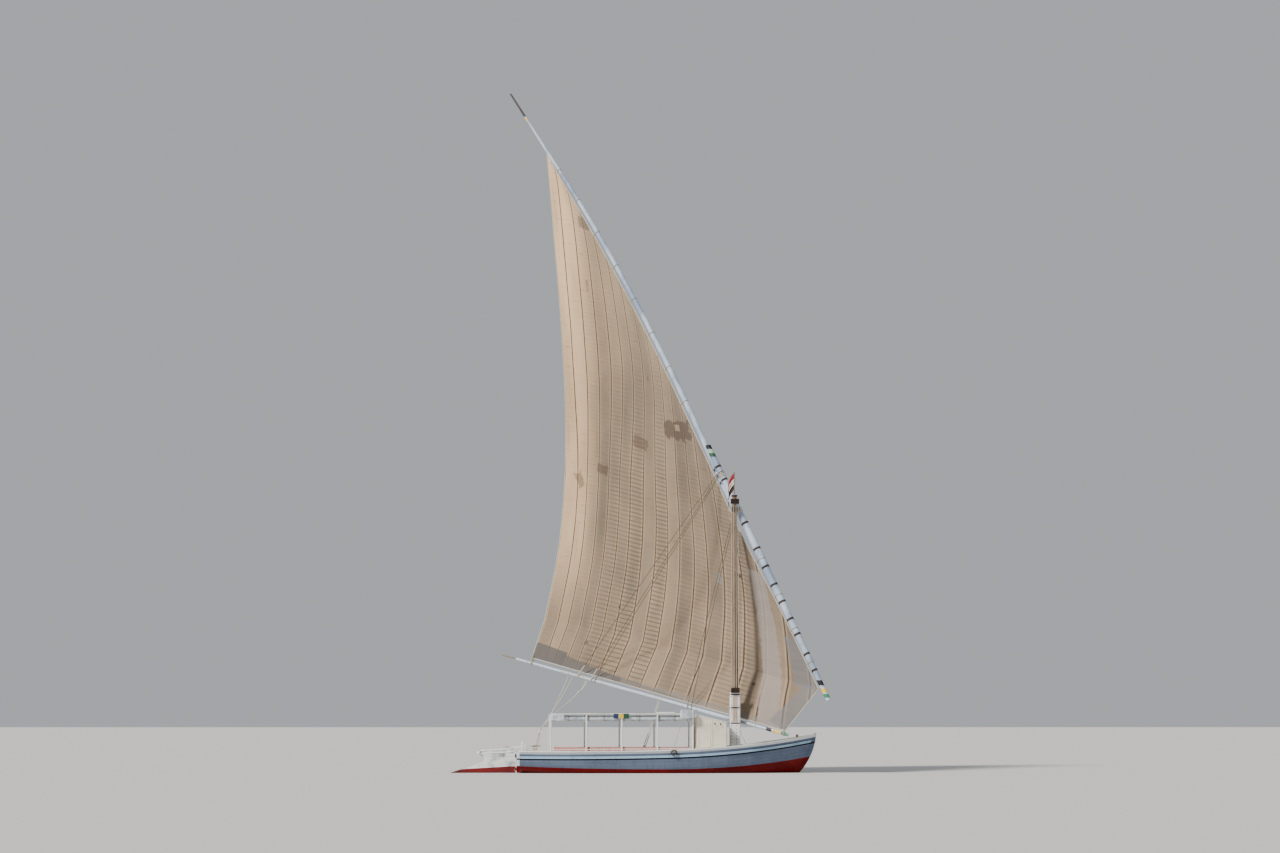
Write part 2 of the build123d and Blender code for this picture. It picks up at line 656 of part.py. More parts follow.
# Rudder: a broad blade hung on pintles, with a moulded head and a tiller over the stern
rudder_face = HINGE_X - RUDDER_FACE
rudder_outline = [
    (rudder_face, RUDDER_HEAD),
    (-7176, 878),
    (-7104, 634),
    (-6960, 560),
    (-7010, 466),
    (-7490, 250),
    (-7970, 106),
    (-8352, -14),
    (-8500, -180),
    (-8350, -420),
    (-7300, -1020),
    (-6500, RUDDER_FOOT),
    (rudder_face, RUDDER_FOOT),
]
rudder_face_wire = Wire.make_polygon([Vector(x, -RUDDER_THICK / 2, z) for x, z in rudder_outline], close=True)
rudder_blade = Solid.extrude(Face(rudder_face_wire), Vector(0, RUDDER_THICK, 0))
for z in GUDGEON_Z:
    rudder_blade -= rod(
        (HINGE_X, 0, z - GUDGEON_TALL / 2 - 12),
        (HINGE_X, 0, z + GUDGEON_TALL / 2 + PINTLE_TALL + 12),
        GUDGEON_R + 26,
    )
knob_z = 760
(upper_x, upper_z), (lower_x, lower_z) = rudder_outline[1:3]
knob_x = upper_x + (lower_x - upper_x) * (upper_z - knob_z) / (upper_z - lower_z) - KNOB_R * 0.8
rudder_knob = Pos(knob_x, 0, knob_z) * Sphere(KNOB_R) - rudder_blade
rudder_knob = rudder_knob.solids().sort_by(SortBy.VOLUME)[-1]

# Gudgeons on the sternpost, pintles on the rudder
gudgeon_solids = []
pintle_solids = []
for z in GUDGEON_Z:
    low, high = z - GUDGEON_TALL / 2, z + GUDGEON_TALL / 2
    ring = rod((HINGE_X, 0, low), (HINGE_X, 0, high), GUDGEON_R) + block(
        HINGE_X, STERN_X - 10, -GUDGEON_R, GUDGEON_R, low, high
    )
    ring -= block(sternpost_x - FIT, STERN_X + 50, -KEEL_HALF, KEEL_HALF, low - 10, high + 10)
    ring -= rod((HINGE_X, 0, low - 10), (HINGE_X, 0, high + 10), PIN_R + PIN_PLAY)
    gudgeon_solids.append(ring)
    pin = rod((HINGE_X, 0, low - 20), (HINGE_X, 0, high + PINTLE_TALL), PIN_R)
    eye = rod((HINGE_X, 0, high + 2), (HINGE_X, 0, high + PINTLE_TALL), PIN_R + 6)
    arm = block(HINGE_X - GUDGEON_R - 60, HINGE_X, -20, 20, high + 2, high + PINTLE_TALL)
    pintle_solids.append((pin + eye + arm) - rudder_blade)
gudgeons = group(*gudgeon_solids)
pintles = group(*pintle_solids)
tiller_z = RUDDER_HEAD + FIT
tiller_root = HINGE_X - 420
tiller_wire = Wire.make_polygon(
    [
        Vector(tiller_root, -TILLER_WIDE / 2, tiller_z),
        Vector(HINGE_X, -TILLER_WIDE / 2, tiller_z),
        Vector(HINGE_X + TILLER_LONG, -TILLER_WIDE / 2, tiller_z + TILLER_RISE),
        Vector(HINGE_X + TILLER_LONG, -TILLER_WIDE / 2, tiller_z + TILLER_RISE + 45),
        Vector(HINGE_X, -TILLER_WIDE / 2, tiller_z + 75),
        Vector(tiller_root, -TILLER_WIDE / 2, tiller_z + 75),
    ],
    close=True,
)
tiller = Solid.extrude(Face(tiller_wire), Vector(0, TILLER_WIDE, 0)) - rudder_blade

# Fender ring hung over the starboard gunwale
cap_slice = gunwale_cap & block(FENDER_X - FENDER_R, FENDER_X + FENDER_R, -HULL_SPAN, 0, 0, 3000)
fender_y = cap_slice.bounding_box().min.Y - 2 * FENDER_TUBE
fender_z = sheer_height(FENDER_X) + CAP_THICK / 2 - FENDER_R
fender = Pos(FENDER_X, fender_y, fender_z) * Rot(90, 0, 0) * Torus(FENDER_R, FENDER_TUBE)
fender = Pos(0, fender.distance_to(cap_slice) - FIT, 0) * fender


# Rig pieces are drawn in the rig's plane and turned with it about the mast
def in_rig(shape):
    return shape.moved(Location((MAST_X, 0, 0), (0, 0, RIG_YAW)))


def spar(stations, y):
    """Round spar through stations of s, z and radius, straight from one to the next."""
    rings = []
    for i, (s, z, radius) in enumerate(stations):
        s0, z0, _ = stations[max(i - 1, 0)]
        s1, z1, _ = stations[min(i + 1, len(stations) - 1)]
        plane = Plane(origin=(s, y, z), x_dir=(0, 1, 0), z_dir=(s1 - s0, 0, z1 - z0))
        rings.append(Wire.make_circle(radius, plane))
    return Solid.make_loft(rings, True)


upper_y = RIG_OFFSET + UPPER_SHIFT
lower_rows = faired(LOWER_SPAR, LOWER_STEPS)
upper_rows = faired(UPPER_SPAR, UPPER_STEPS)
lower_spar = spar(lower_rows, RIG_OFFSET)
upper_spar = spar(upper_rows, upper_y)
boom_mid = tuple((a + b) / 2 for a, b in zip(BOOM_FORE, BOOM_AFT))
boom = spar(
    [(*BOOM_FORE, BOOM_R[0]), (*boom_mid, BOOM_R[1]), (*BOOM_AFT, BOOM_R[2])],
    RIG_OFFSET,
)
boom_dir = Vector(BOOM_AFT[0] - BOOM_FORE[0], 0, BOOM_AFT[1] - BOOM_FORE[1]).normalized()
tip_0 = Vector(BOOM_AFT[0], RIG_OFFSET, BOOM_AFT[1])
tip_1 = tip_0 + boom_dir * BOOM_TIP_LONG
boom_tip = rod((tip_0.X, tip_0.Y, tip_0.Z), (tip_1.X, tip_1.Y, tip_1.Z), BOOM_TIP_R)


def sail_row(row):
    """Closed thin section of the sail: two arcs from the fore edge to the leech, a sailcloth apart."""
    s0, y0, z0, s1, y1, z1, belly = row
    a = Vector(s0, RIG_OFFSET + y0, z0)
    b = Vector(s1, RIG_OFFSET + y1, z1)
    m = (a + b) / 2 + Vector(0, belly, 0)
    t = Vector(0, SAIL_THICK, 0)
    return Wire(
        [
            Edge.make_three_point_arc(a, m, b),
            Edge.make_line(b, b + t),
            Edge.make_three_point_arc(b + t, m + t, a + t),
            Edge.make_line(a + t, a),
        ]
    )


sail_rows = [SAIL_ROWS[0], *faired(SAIL_ROWS[1:], SAIL_STEPS)]
sail = Solid.make_loft([sail_row(row) for row in sail_rows], True)


def spar_at(stations, z):
    """The s of a spar's axis at height z, its radius there and its direction."""
    for (s0, z0, r0), (s1, z1, r1) in zip(stations, stations[1:]):
        if min(z0, z1) <= z <= max(z0, z1):
            t = (z - z0) / (z1 - z0)
            return s0 + (s1 - s0) * t, r0 + (r1 - r0) * t, Vector(s1 - s0, 0, z1 - z0).normalized()
    raise ValueError("z lies outside the spar")


def luff_at(z):
    """Point on the sail's fore edge at height z."""
    for (s0, y0, z0, *_), (s1, y1, z1, *_) in zip(sail_rows, sail_rows[1:]):
        if z0 <= z <= z1:
            t = (z - z0) / (z1 - z0)
            return Vector(s0 + (s1 - s0) * t, RIG_OFFSET + y0 + (y1 - y0) * t + SAIL_THICK / 2, z)
    raise ValueError("z lies outside the sail")


def collar(mid, along, half, radius):
    """Short round block about the middle point of a spar, along it."""
    a, b = mid - along * half, mid + along * half
    return rod((a.X, a.Y, a.Z), (b.X, b.Y, b.Z), radius)


# Lashings round the yard, robands that hold the sail to it, and the parrel that holds it to the mast
lash_solids = []
for z in LASH_Z:
    s, radius, along = spar_at(lower_rows, z)
    mid = Vector(s, RIG_OFFSET, z)
    ring = collar(mid, along, LASH_WIDE / 2, radius + LASH_WALL)
    if z > UPPER_SPAR[0][1]:
        s, radius_up, _ = spar_at(upper_rows, z)
        other = Vector(s, upper_y, z)
        other = other - along * (other - mid).dot(along)
        ring += collar(other, along, LASH_WIDE / 2, radius_up + LASH_WALL)
        between = Plane(origin=(mid + other) / 2, x_dir=other - mid, z_dir=along)
        ring += between * Box((other - mid).length, 2 * min(radius, radius_up), LASH_WIDE)
    lash_solids.append((ring - lower_spar - upper_spar).solids().sort_by(SortBy.VOLUME)[-1])
roband_solids = []
for z in ROBAND_Z:
    stations, y = (lower_rows, RIG_OFFSET) if z < UPPER_SPAR[0][1] else (upper_rows, upper_y)
    s, radius, along = spar_at(stations, z)
    mid = Vector(s, y, z)
    luff = luff_at(z)
    across = Vector(-abs(along.Z), 0, -abs(along.X))
    reach = (luff - mid).dot(across) - ROBAND_R
    start = Vector(s, y, z) + across * radius
    for _ in range(2):
        end = Vector(s, luff.Y, z) + across * reach
        tail = rod((start.X, start.Y, start.Z), (end.X, end.Y, end.Z), ROBAND_TAIL)
        reach += tail.distance_to(sail) - FIT
    tie = collar(mid, along, ROBAND_R, radius + 2 * ROBAND_R) + tail
    roband_solids.append(tie - collar(mid, along, 3 * ROBAND_R, radius + FIT))
luff_robands = group(*roband_solids)
yard_lashings = group(*lash_solids)
parrel_r = MAST_R + (MAST_TOP_R - MAST_R) * (PARREL_Z - CHEEK_TOP) / (MAST_TOP - CHEEK_TOP) + PARREL_PLAY
parrel = rod((0, 0, PARREL_Z - PARREL_TALL / 2), (0, 0, PARREL_Z + PARREL_TALL / 2), parrel_r + PARREL_WALL)
parrel += block(
    -70, 70, 0, RIG_OFFSET, PARREL_Z - PARREL_TALL / 2, PARREL_Z + PARREL_TALL / 2
)
parrel = parrel - rod(
    (0, 0, PARREL_Z - PARREL_TALL), (0, 0, PARREL_Z + PARREL_TALL), parrel_r + 2
)
parrel = parrel - lower_spar
parrel = parrel.solids().sort_by(SortBy.VOLUME)[-1]

# Corner lashings of the sail: tack and clew to the boom, peak to the yard
corner_solids = []
for s, z, far in ((SAIL_ROWS[0][0] - 60, SAIL_ROWS[0][2], 0), (SAIL_ROWS[0][3] + 60, SAIL_ROWS[0][5], 60)):
    t = (s - BOOM_FORE[0]) / (BOOM_AFT[0] - BOOM_FORE[0])
    axis_z = BOOM_FORE[1] + (BOOM_AFT[1] - BOOM_FORE[1]) * t
    radius = BOOM_R[0] + (BOOM_R[1] - BOOM_R[0]) * min(1, 2 * t) if t < 0.5 else BOOM_R[2] + (
        BOOM_R[1] - BOOM_R[2]
    ) * 2 * (1 - t)
    mid = Vector(s, RIG_OFFSET, axis_z)
    a = mid - boom_dir * 40
    b = mid + boom_dir * 40
    ring = rod((a.X, a.Y, a.Z), (b.X, b.Y, b.Z), radius + LASH_WALL + 6)
    leg = rod((s, RIG_OFFSET + 8, axis_z), (s, RIG_OFFSET + far + 8, z + 90), 16)
    corner_solids.append((ring + leg) - boom - sail)
corner_lashings = group(*[s.solids().sort_by(SortBy.VOLUME)[-1] for s in corner_solids])

pieces = {
    "hull_shell": hull_shell,
    "gunwale_cap": gunwale_cap,
    "rub_strake": rub_strake,
    "stem": stem,
    "keel": keel,
    "sternpost": sternpost,
    "frames": frames,
    "sole": sole,
    "foredeck": foredeck,
    "side_decks": side_decks,
    "stern_deck": stern_deck,
    "aft_bulkhead": aft_bulkhead,
    "fore_bulkhead": fore_bulkhead,
    "benches": benches,
    "seat_cushions": seat_cushions,
    "back_cushions": back_cushions,
    "canopy_frame": canopy_frame,
    "canopy_roof": canopy_roof,
    "curtain_rolls": curtain_rolls,
    "curtain_bundles": curtain_bundles,
    "canopy_panel": canopy_panel,
    "guard_rails": guard_rails,
    "cuddy_walls": cuddy_walls,
    "cuddy_roof": cuddy_roof,
    "mast_step": mast_step,
    "mast": mast,
    "mast_cheeks": mast_cheeks,
    "mast_straps": mast_straps,
    "mast_braces": mast_braces,
    "halyard_blocks": halyard_blocks,
    "halyard_falls": halyard_falls,
    "masthead_cap": masthead_cap,
    "flag_staff": flag_staff,
    "flag": flag,
    "bow_bitt": bow_bitt,
    "stern_rail": stern_rail,
    "gudgeons": gudgeons,
    "fender": fender,
    "rudder_blade": rudder_blade,
    "rudder_knob": rudder_knob,
    "pintles": pintles,
    "tiller": tiller,
    "lower_spar": in_rig(lower_spar),
    "upper_spar": in_rig(upper_spar),
    "boom": in_rig(boom),
    "boom_tip": in_rig(boom_tip),
    "sail": in_rig(sail),
    "yard_lashings": in_rig(yard_lashings),
    "luff_robands": in_rig(luff_robands),
    "parrel": in_rig(parrel),
    "corner_lashings": in_rig(corner_lashings),
}
for node, shape in pieces.items():
    export_step(shape, f"parts/{node}.step")
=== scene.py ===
"""Looks of a river felucca with one lateen sail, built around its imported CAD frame.

Metres. X runs forward to the bow, Y to port, Z up, and z = 0 is the water's surface, where the floor lies.
"""

import math

import bmesh
import bpy
import numpy as np
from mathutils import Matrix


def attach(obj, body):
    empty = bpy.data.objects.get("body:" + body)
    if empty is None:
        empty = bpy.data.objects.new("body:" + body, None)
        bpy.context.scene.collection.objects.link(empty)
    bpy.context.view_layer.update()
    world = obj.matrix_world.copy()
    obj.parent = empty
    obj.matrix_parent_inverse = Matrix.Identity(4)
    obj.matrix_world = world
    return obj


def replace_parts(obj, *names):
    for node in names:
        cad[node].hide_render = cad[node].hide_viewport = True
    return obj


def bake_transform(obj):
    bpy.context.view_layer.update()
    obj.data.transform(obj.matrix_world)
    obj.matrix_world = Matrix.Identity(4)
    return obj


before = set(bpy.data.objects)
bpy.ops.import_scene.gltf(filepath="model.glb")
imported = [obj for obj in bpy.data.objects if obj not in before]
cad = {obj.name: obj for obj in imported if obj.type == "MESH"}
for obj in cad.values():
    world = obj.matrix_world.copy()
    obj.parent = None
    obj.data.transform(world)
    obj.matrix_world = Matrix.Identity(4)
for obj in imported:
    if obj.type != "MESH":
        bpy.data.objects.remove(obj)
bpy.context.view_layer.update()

# Camera and floor. The camera stands low on the starboard side, a little aft, at the distance that the
# photograph shows, and its lens takes in the whole rig. The floor is a pale plain sheet at the waterline.
CAMERA_AT = (-7.2, -133.0, 2.0)
CAMERA_AIM = (-1.0, 0.0, 13.35)
CAMERA_LENS = 97.0
FLOOR_HALF = 900.0

camera_data = bpy.data.cameras.new("camera")
camera_data.lens = CAMERA_LENS
camera_data.clip_end = 3000
camera = bpy.data.objects.new("camera", camera_data)
bpy.context.scene.collection.objects.link(camera)
camera.location = CAMERA_AT
aim = np.array(CAMERA_AIM) - np.array(CAMERA_AT)
camera.rotation_euler = (
    math.pi / 2 + math.asin(aim[2] / np.linalg.norm(aim)),
    0,
    math.atan2(-aim[0], aim[1]),
)
bpy.context.scene.camera = camera


def made_mesh(name, points, faces, uv=None, smooth=True):
    """Object from an array of points and an array or list of faces' point numbers, with uv given for each point."""
    mesh = bpy.data.meshes.new(name)
    mesh.from_pydata(points, [], faces if isinstance(faces, list) else faces.tolist())
    if uv is not None:
        layer = mesh.uv_layers.new(name="laid")
        corners = np.empty(len(mesh.loops), np.int32)
        mesh.loops.foreach_get("vertex_index", corners)
        layer.data.foreach_set("uv", uv[corners].astype(np.float32).ravel())
    mesh.polygons.foreach_set("use_smooth", np.full(len(mesh.polygons), smooth))
    mesh.update()
    made = bpy.data.objects.new(name, mesh)
    bpy.context.scene.collection.objects.link(made)
    return made


class Tone:
    """A number that varies over a surface: wraps a node's socket, so that sums on it read as arithmetic."""

    def __init__(self, finish, socket):
        self.finish = finish
        self.socket = socket

    def __add__(self, other):
        return self.finish.sum("ADD", self, other)

    def __radd__(self, other):
        return self.finish.sum("ADD", other, self)

    def __sub__(self, other):
        return self.finish.sum("SUBTRACT", self, other)

    def __rsub__(self, other):
        return self.finish.sum("SUBTRACT", other, self)

    def __mul__(self, other):
        return self.finish.sum("MULTIPLY", self, other)

    def __rmul__(self, other):
        return self.finish.sum("MULTIPLY", other, self)

    def __truediv__(self, other):
        return self.finish.sum("DIVIDE", self, other)

    def __gt__(self, other):
        return self.finish.sum("GREATER_THAN", self, other)

    def __lt__(self, other):
        return self.finish.sum("LESS_THAN", self, other)

    def __mod__(self, other):
        return self.finish.sum("FLOORED_MODULO", self, other)

    def __abs__(self):
        return self.finish.sum("ABSOLUTE", self)


class Finish:
    """A procedural material. node() adds any node: its type, its settings, then its sockets' values or links."""

    def __init__(self, name, roughness=0.6, metallic=0.0, **constants):
        self.material = bpy.data.materials.new(name)
        self.material.use_nodes = True
        self.tree = self.material.node_tree
        self.shader = self.tree.nodes["Principled BSDF"]
        self.set("Roughness", roughness)
        self.set("Metallic", metallic)
        for key, value in constants.items():
            self.set(key.replace("_", " "), value)
        self.place = self.node("TexCoord", out="Object")
        split = self.node("SeparateXYZ", {}, {0: self.place}).socket.node
        self.x, self.y, self.z = (Tone(self, split.outputs[i]) for i in range(3))

    def node(self, kind, settings=None, sockets=None, out=0):
        made = self.tree.nodes.new("ShaderNode" + kind)
        for key, value in (settings or {}).items():
            if key == "stops":
                for i, (at, colour) in enumerate(value):
                    stop = made.color_ramp.elements[i] if i < 2 else made.color_ramp.elements.new(at)
                    stop.position = at
                    stop.color = (*colour, 1)
            else:
                setattr(made, key, value)
        for key, value in (sockets or {}).items():
            self.feed(made.inputs[key], value)
        return Tone(self, made.outputs[out])

    def feed(self, socket, value):
        if isinstance(value, Tone):
            self.tree.links.new(value.socket, socket)
        elif socket.type == "RGBA":
            socket.default_value = (*value[:3], 1)
        else:
            socket.default_value = value

    def sum(self, operation, first, second=0.0):
        return self.node("Math", {"operation": operation}, {0: first, 1: second})

    def set(self, name, value):
        self.feed(self.shader.inputs[name], value)
        return self

    def uv(self):
        """The piece's own laid-out coordinates as two tones."""
        split = self.node("SeparateXYZ", {}, {0: self.node("UVMap", {"uv_map": "laid"})}).socket.node
        return Tone(self, split.outputs[0]), Tone(self, split.outputs[1])

    def stretched(self, sizes, source=None):
        """Object coordinates, or others, scaled apart along x, y and z."""
        return self.node("Mapping", {}, {"Vector": source or self.place, "Scale": sizes})

    def noise(self, scale, sizes=(1, 1, 1), detail=4.0, source=None):
        """Soft noise from 0 to 1 about 0.5, drawn out along an axis by sizes."""
        where = self.stretched(sizes, source)
        return self.node("TexNoise", {}, {"Vector": where, "Scale": scale, "Detail": detail})

    def mix(self, share, low, high):
        """Colour low where share is 0 and high where it is 1."""
        return self.node("Mix", {"data_type": "RGBA"}, {0: share, 6: low, 7: high}, out=2)

    def ramp(self, value, low, high):
        """0 where the value is under low, 1 above high, smooth in between."""
        return self.node(
            "MapRange", {"interpolation_type": "SMOOTHSTEP"}, {"Value": value, "From Min": low, "From Max": high}
        )

    def relief(self, height, depth, strength=1.0):
        """Bump from a height of 0 to 1 that stands for a depth in metres."""
        bump = self.node("Bump", {}, {"Height": height, "Distance": depth, "Strength": strength})
        return self.set("Normal", bump)

    def on(self, *pieces):
        """Puts this finish on the pieces' material slots."""
        for piece in pieces:
            slots = piece.data.materials
            if not slots:
                slots.append(self.material)
            for i in range(len(slots)):
                slots[i] = self.material
        return self


def paint_value(red, green, blue):
    """Linear colour from the usual 0 to 255 numbers."""
    parts = np.array([red, green, blue]) / 255
    return tuple(np.where(parts <= 0.04045, parts / 12.92, ((parts + 0.055) / 1.055) ** 2.4).tolist())


def darker(colour, share):
    """The colour with each channel taken down to a share of itself."""
    return tuple(share * v for v in colour)


floor_points = np.array([(-1, -1, 0), (1, -1, 0), (1, 1, 0), (-1, 1, 0)]) * FLOOR_HALF
floor = made_mesh("floor", floor_points, np.array([[0, 1, 2, 3]]))
floor_finish = Finish("pale_floor", roughness=0.9).on(floor)
floor_finish.set("Base Color", paint_value(206, 205, 203))

# Light: a broad soft sun from the left and ahead of the camera, and an even pale sky.
SUN_TURN = (math.radians(50), math.radians(0), math.radians(-52))
SUN_POWER = 4.7
SKY_VALUE = (0.86, 0.90, 0.95)
SKY_POWER = 0.50

sun_data = bpy.data.lights.new("sun", "SUN")
sun_data.energy = SUN_POWER
sun_data.angle = math.radians(9)
sun_data.color = (1.0, 0.955, 0.88)
sun = bpy.data.objects.new("sun", sun_data)
sun.rotation_euler = SUN_TURN
bpy.context.scene.collection.objects.link(sun)
world = bpy.data.worlds.new("sky")
bpy.context.scene.world = world
world.use_nodes = True
world.node_tree.nodes["Background"].inputs["Color"].default_value = (*SKY_VALUE, 1)
world.node_tree.nodes["Background"].inputs["Strength"].default_value = SKY_POWER

# Hull planking: carvel planks on frames, caulked and painted pale blue-grey down to a red bottom, whose edge
# sweeps up to the bow. The top plank's upper edge is white, and a narrow dark blue line runs under the strake.
TOPSIDES = paint_value(99, 112, 134)
TOPSIDES_WORN = paint_value(84, 95, 110)
BOTTOM_RED = paint_value(118, 0, 2)
BOTTOM_DARK = paint_value(82, 0, 3)
NAVY = paint_value(9, 14, 32)
SLIME = paint_value(56, 14, 12)
SHEER_AFT = 0.00296  # rise of the sheer line, in metres for each metre squared, aft and forward of midships
SHEER_FORE = 0.01386
SHEER_SLOPE = 0.0241
SHEER_MID = 0.845
SHEER_WHITE = paint_value(226, 230, 234)
SHEER_WHITE_LOW = 0.072  # the top plank's upper edge is white down to this far under the sheer line
STRIPE_TOP = 0.250
STRIPE_LOW = 0.306
PLANK_TALL = 0.135
SEAM = 0.010


def below_sheer(finish):
    """How far under the sheer line a point is: two parabolas that meet amidships, less z."""
    ahead = finish.x > 0
    bow = finish.x * finish.x * (SHEER_AFT + ahead * (SHEER_FORE - SHEER_AFT))
    return SHEER_MID + finish.x * SHEER_SLOPE + bow - finish.z


def red_edge(finish):
    """Height of the red bottom's edge: low amidships, and rising with the square of the distance from there."""
    ahead = finish.x > 0
    wander = (finish.noise(1.6) - 0.5) * 0.012
    return 0.15 + finish.x * finish.x * (0.0035 + ahead * 0.0117) + wander


def hull_paint(name, top, worn):
    """Painted hull: top colour with plank seams, weathering and runs, over a red bottom with a scum line."""
    finish = Finish(name, roughness=0.42, Specular_IOR_Level=0.14)
    drop = below_sheer(finish)
    row = drop % PLANK_TALL
    seam = finish.ramp(abs(row - PLANK_TALL / 2), PLANK_TALL / 2 - SEAM, PLANK_TALL / 2)
    broad = finish.noise(0.9, (0.6, 1, 2.2))
    fine = finish.noise(26.0, (0.25, 1, 1), 6)
    runs = finish.noise(9.0, (1.0, 1.0, 0.12))
    chips = finish.ramp(fine * 0.6 + broad * 0.4, 0.585, 0.64)
    colour = finish.mix(finish.ramp(runs, 0.48, 0.75) * 0.55, top, worn)
    colour = finish.mix(finish.ramp(broad, 0.45, 0.72) * 0.5, colour, worn)
    colour = finish.mix(seam * 0.45, colour, darker(top, 0.45))
    colour = finish.mix(chips * 0.35, colour, darker(worn, 0.55))
    stripe = (drop > STRIPE_TOP) * (drop < STRIPE_LOW)
    colour = finish.mix(stripe, colour, NAVY)
    colour = finish.mix((drop < SHEER_WHITE_LOW) * 0.9, colour, SHEER_WHITE)
    edge = red_edge(finish)
    red = finish.mix(finish.ramp(broad * 0.5 + fine * 0.5, 0.4, 0.62), BOTTOM_RED, BOTTOM_DARK)
    red = finish.mix(finish.ramp(finish.z * -1.0 + finish.noise(5.0) * 0.05, -0.05, 0.03) * 0.75, red, SLIME)
    colour = finish.mix(finish.z < edge, colour, red)
    finish.set("Base Color", colour)
    finish.set("Roughness", 0.36 + finish.ramp(broad, 0.3, 0.8) * 0.3)
    finish.relief(fine * 0.25 - seam * 0.7 + broad * 0.4, 0.006, 0.6)
    return finish


planking_paint = hull_paint("planking_paint", TOPSIDES, TOPSIDES_WORN)
planking_paint.on(cad["hull_shell"], cad["stem"], cad["keel"])
post_paint = hull_paint("post_paint", paint_value(232, 234, 234), paint_value(190, 190, 186))
post_paint.on(cad["sternpost"])

# Gunwale cap: a bent hardwood rail fastened down on the planking's edge. Its white paint is dirty in clouds and
# chipped to bare wood, and the same paint goes on the bulkheads and benches.
WHITE = paint_value(236, 238, 240)
WHITE_WORN = paint_value(196, 194, 186)
BARE_WOOD = paint_value(128, 104, 80)


def white_work(name, base, worn, along=(0.3, 1.0, 1.0), gloss=0.38, patch=0.35):
    """Brush-painted joinery: strokes drawn out along the piece, dirt in broad clouds, small chips to bare wood."""
    finish = Finish(name, roughness=gloss)
    strokes = finish.noise(34.0, along, 5)
    clouds = finish.noise(1.7, detail=5)
    chips = finish.ramp(finish.noise(15.0, detail=8), 0.66, 0.70)
    colour = finish.mix(finish.ramp(clouds, 0.40, 0.78) * patch * 2, base, worn)
    colour = finish.mix(finish.ramp(strokes, 0.5, 0.8) * 0.18, colour, darker(base, 0.7))
    finish.coat = finish.mix(chips * patch, colour, BARE_WOOD)
    finish.set("Base Color", finish.coat)
    finish.set("Roughness", gloss + finish.ramp(clouds, 0.3, 0.8) * 0.25)
    finish.relief(strokes * 0.5 - chips * 0.8, 0.0018, 0.7)
    return finish


white_paint = white_work("white_paint", WHITE, WHITE_WORN)
white_paint.on(cad["gunwale_cap"], cad["fore_bulkhead"], cad["aft_bulkhead"], cad["benches"])

# Rubbing strake: a half-round moulding nailed along the topsides under the cap, painted light blue, with
# clouds where it is worn to the older coat.
strake_paint = white_work(
    "strake_paint", paint_value(158, 190, 216), paint_value(118, 150, 178), (0.15, 1, 1), 0.45, 0.35
)
strake_paint.on(cad["rub_strake"])

# Inside woodwork: steamed oak frames under a planked sole, decks of scrubbed boards laid fore and aft, and a
# mast step of one heavy block. The foredeck and side decks are painted, the rest is worn bare by feet.
BOARD = paint_value(152, 124, 94)
BOARD_PALE = paint_value(178, 154, 122)
BOARD_DARK = paint_value(98, 76, 56)
BOARD_WIDE = 0.14
BOARD_LONG = 2.6


def board_work(name, base, pale, dark, wide=BOARD_WIDE, gap=0.006, painted=0.0):
    """Boards laid fore and aft: each has its own tone from its number, grain along it, dark joints between."""
    finish = Finish(name, roughness=0.7)
    number = finish.sum("FLOOR", finish.y / wide)
    butt = finish.sum("FLOOR", (finish.x + number * 0.83) / BOARD_LONG)
    own = finish.node("TexWhiteNoise", {"noise_dimensions": "1D"}, {"W": number + butt * 7.0})
    row = abs(finish.y % wide - wide / 2)
    joint = finish.ramp(row, wide / 2 - gap, wide / 2 - gap * 0.3)
    grain = finish.noise(48.0, (0.07, 1, 1), 8)
    worn = finish.noise(2.1, detail=5)
    colour = finish.mix(own, base, pale)
    colour = finish.mix(finish.ramp(grain, 0.45, 0.7) * 0.5, colour, dark)
    colour = finish.mix(finish.ramp(worn, 0.42, 0.66) * (0.45 - painted * 0.2), colour, pale)
    colour = finish.mix(joint * 0.85, colour, darker(dark, 0.22))
    finish.set("Base Color", colour)
    finish.set("Roughness", 0.55 + finish.ramp(worn, 0.3, 0.7) * 0.25)
    finish.relief(grain * 0.3 - joint, 0.004, 0.8)
    return finish


board_work("sole_boards", BOARD, BOARD_PALE, BOARD_DARK).on(
    cad["sole"], cad["frames"], cad["stern_deck"], cad["mast_step"]
)
board_work("deck_boards", WHITE, paint_value(222, 220, 212), WHITE_WORN, painted=1.0).on(
    cad["foredeck"], cad["side_decks"]
)
board_work("bitt_wood", BOARD, BOARD_PALE, BOARD_DARK, 0.4, 0.002).on(cad["bow_bitt"])

# Rudder: a broad plank blade on iron pintles, painted white over a red bottom, with two mouldings nailed along
# its head, a turned knob at the after end, and a long tiller on top.
RUDDER_AFT = -8.5
RUDDER_FORE = -5.786
HEAD_TOP = [(-5.84, 0.942), (-7.176, 0.878)]
RED_FORE = 0.26
RED_AFT = 0.105
MOULDING_OUT = 0.020
MOULDINGS = [(0.035, 0.052), (0.150, 0.045)]  # depth of each moulding's middle under the head, and its height
BLADE_HALF = 0.042


def full_turn(count):
    """Even angles round a circle, without the last one that meets the first."""
    return np.linspace(0, 2 * np.pi, count, endpoint=False)


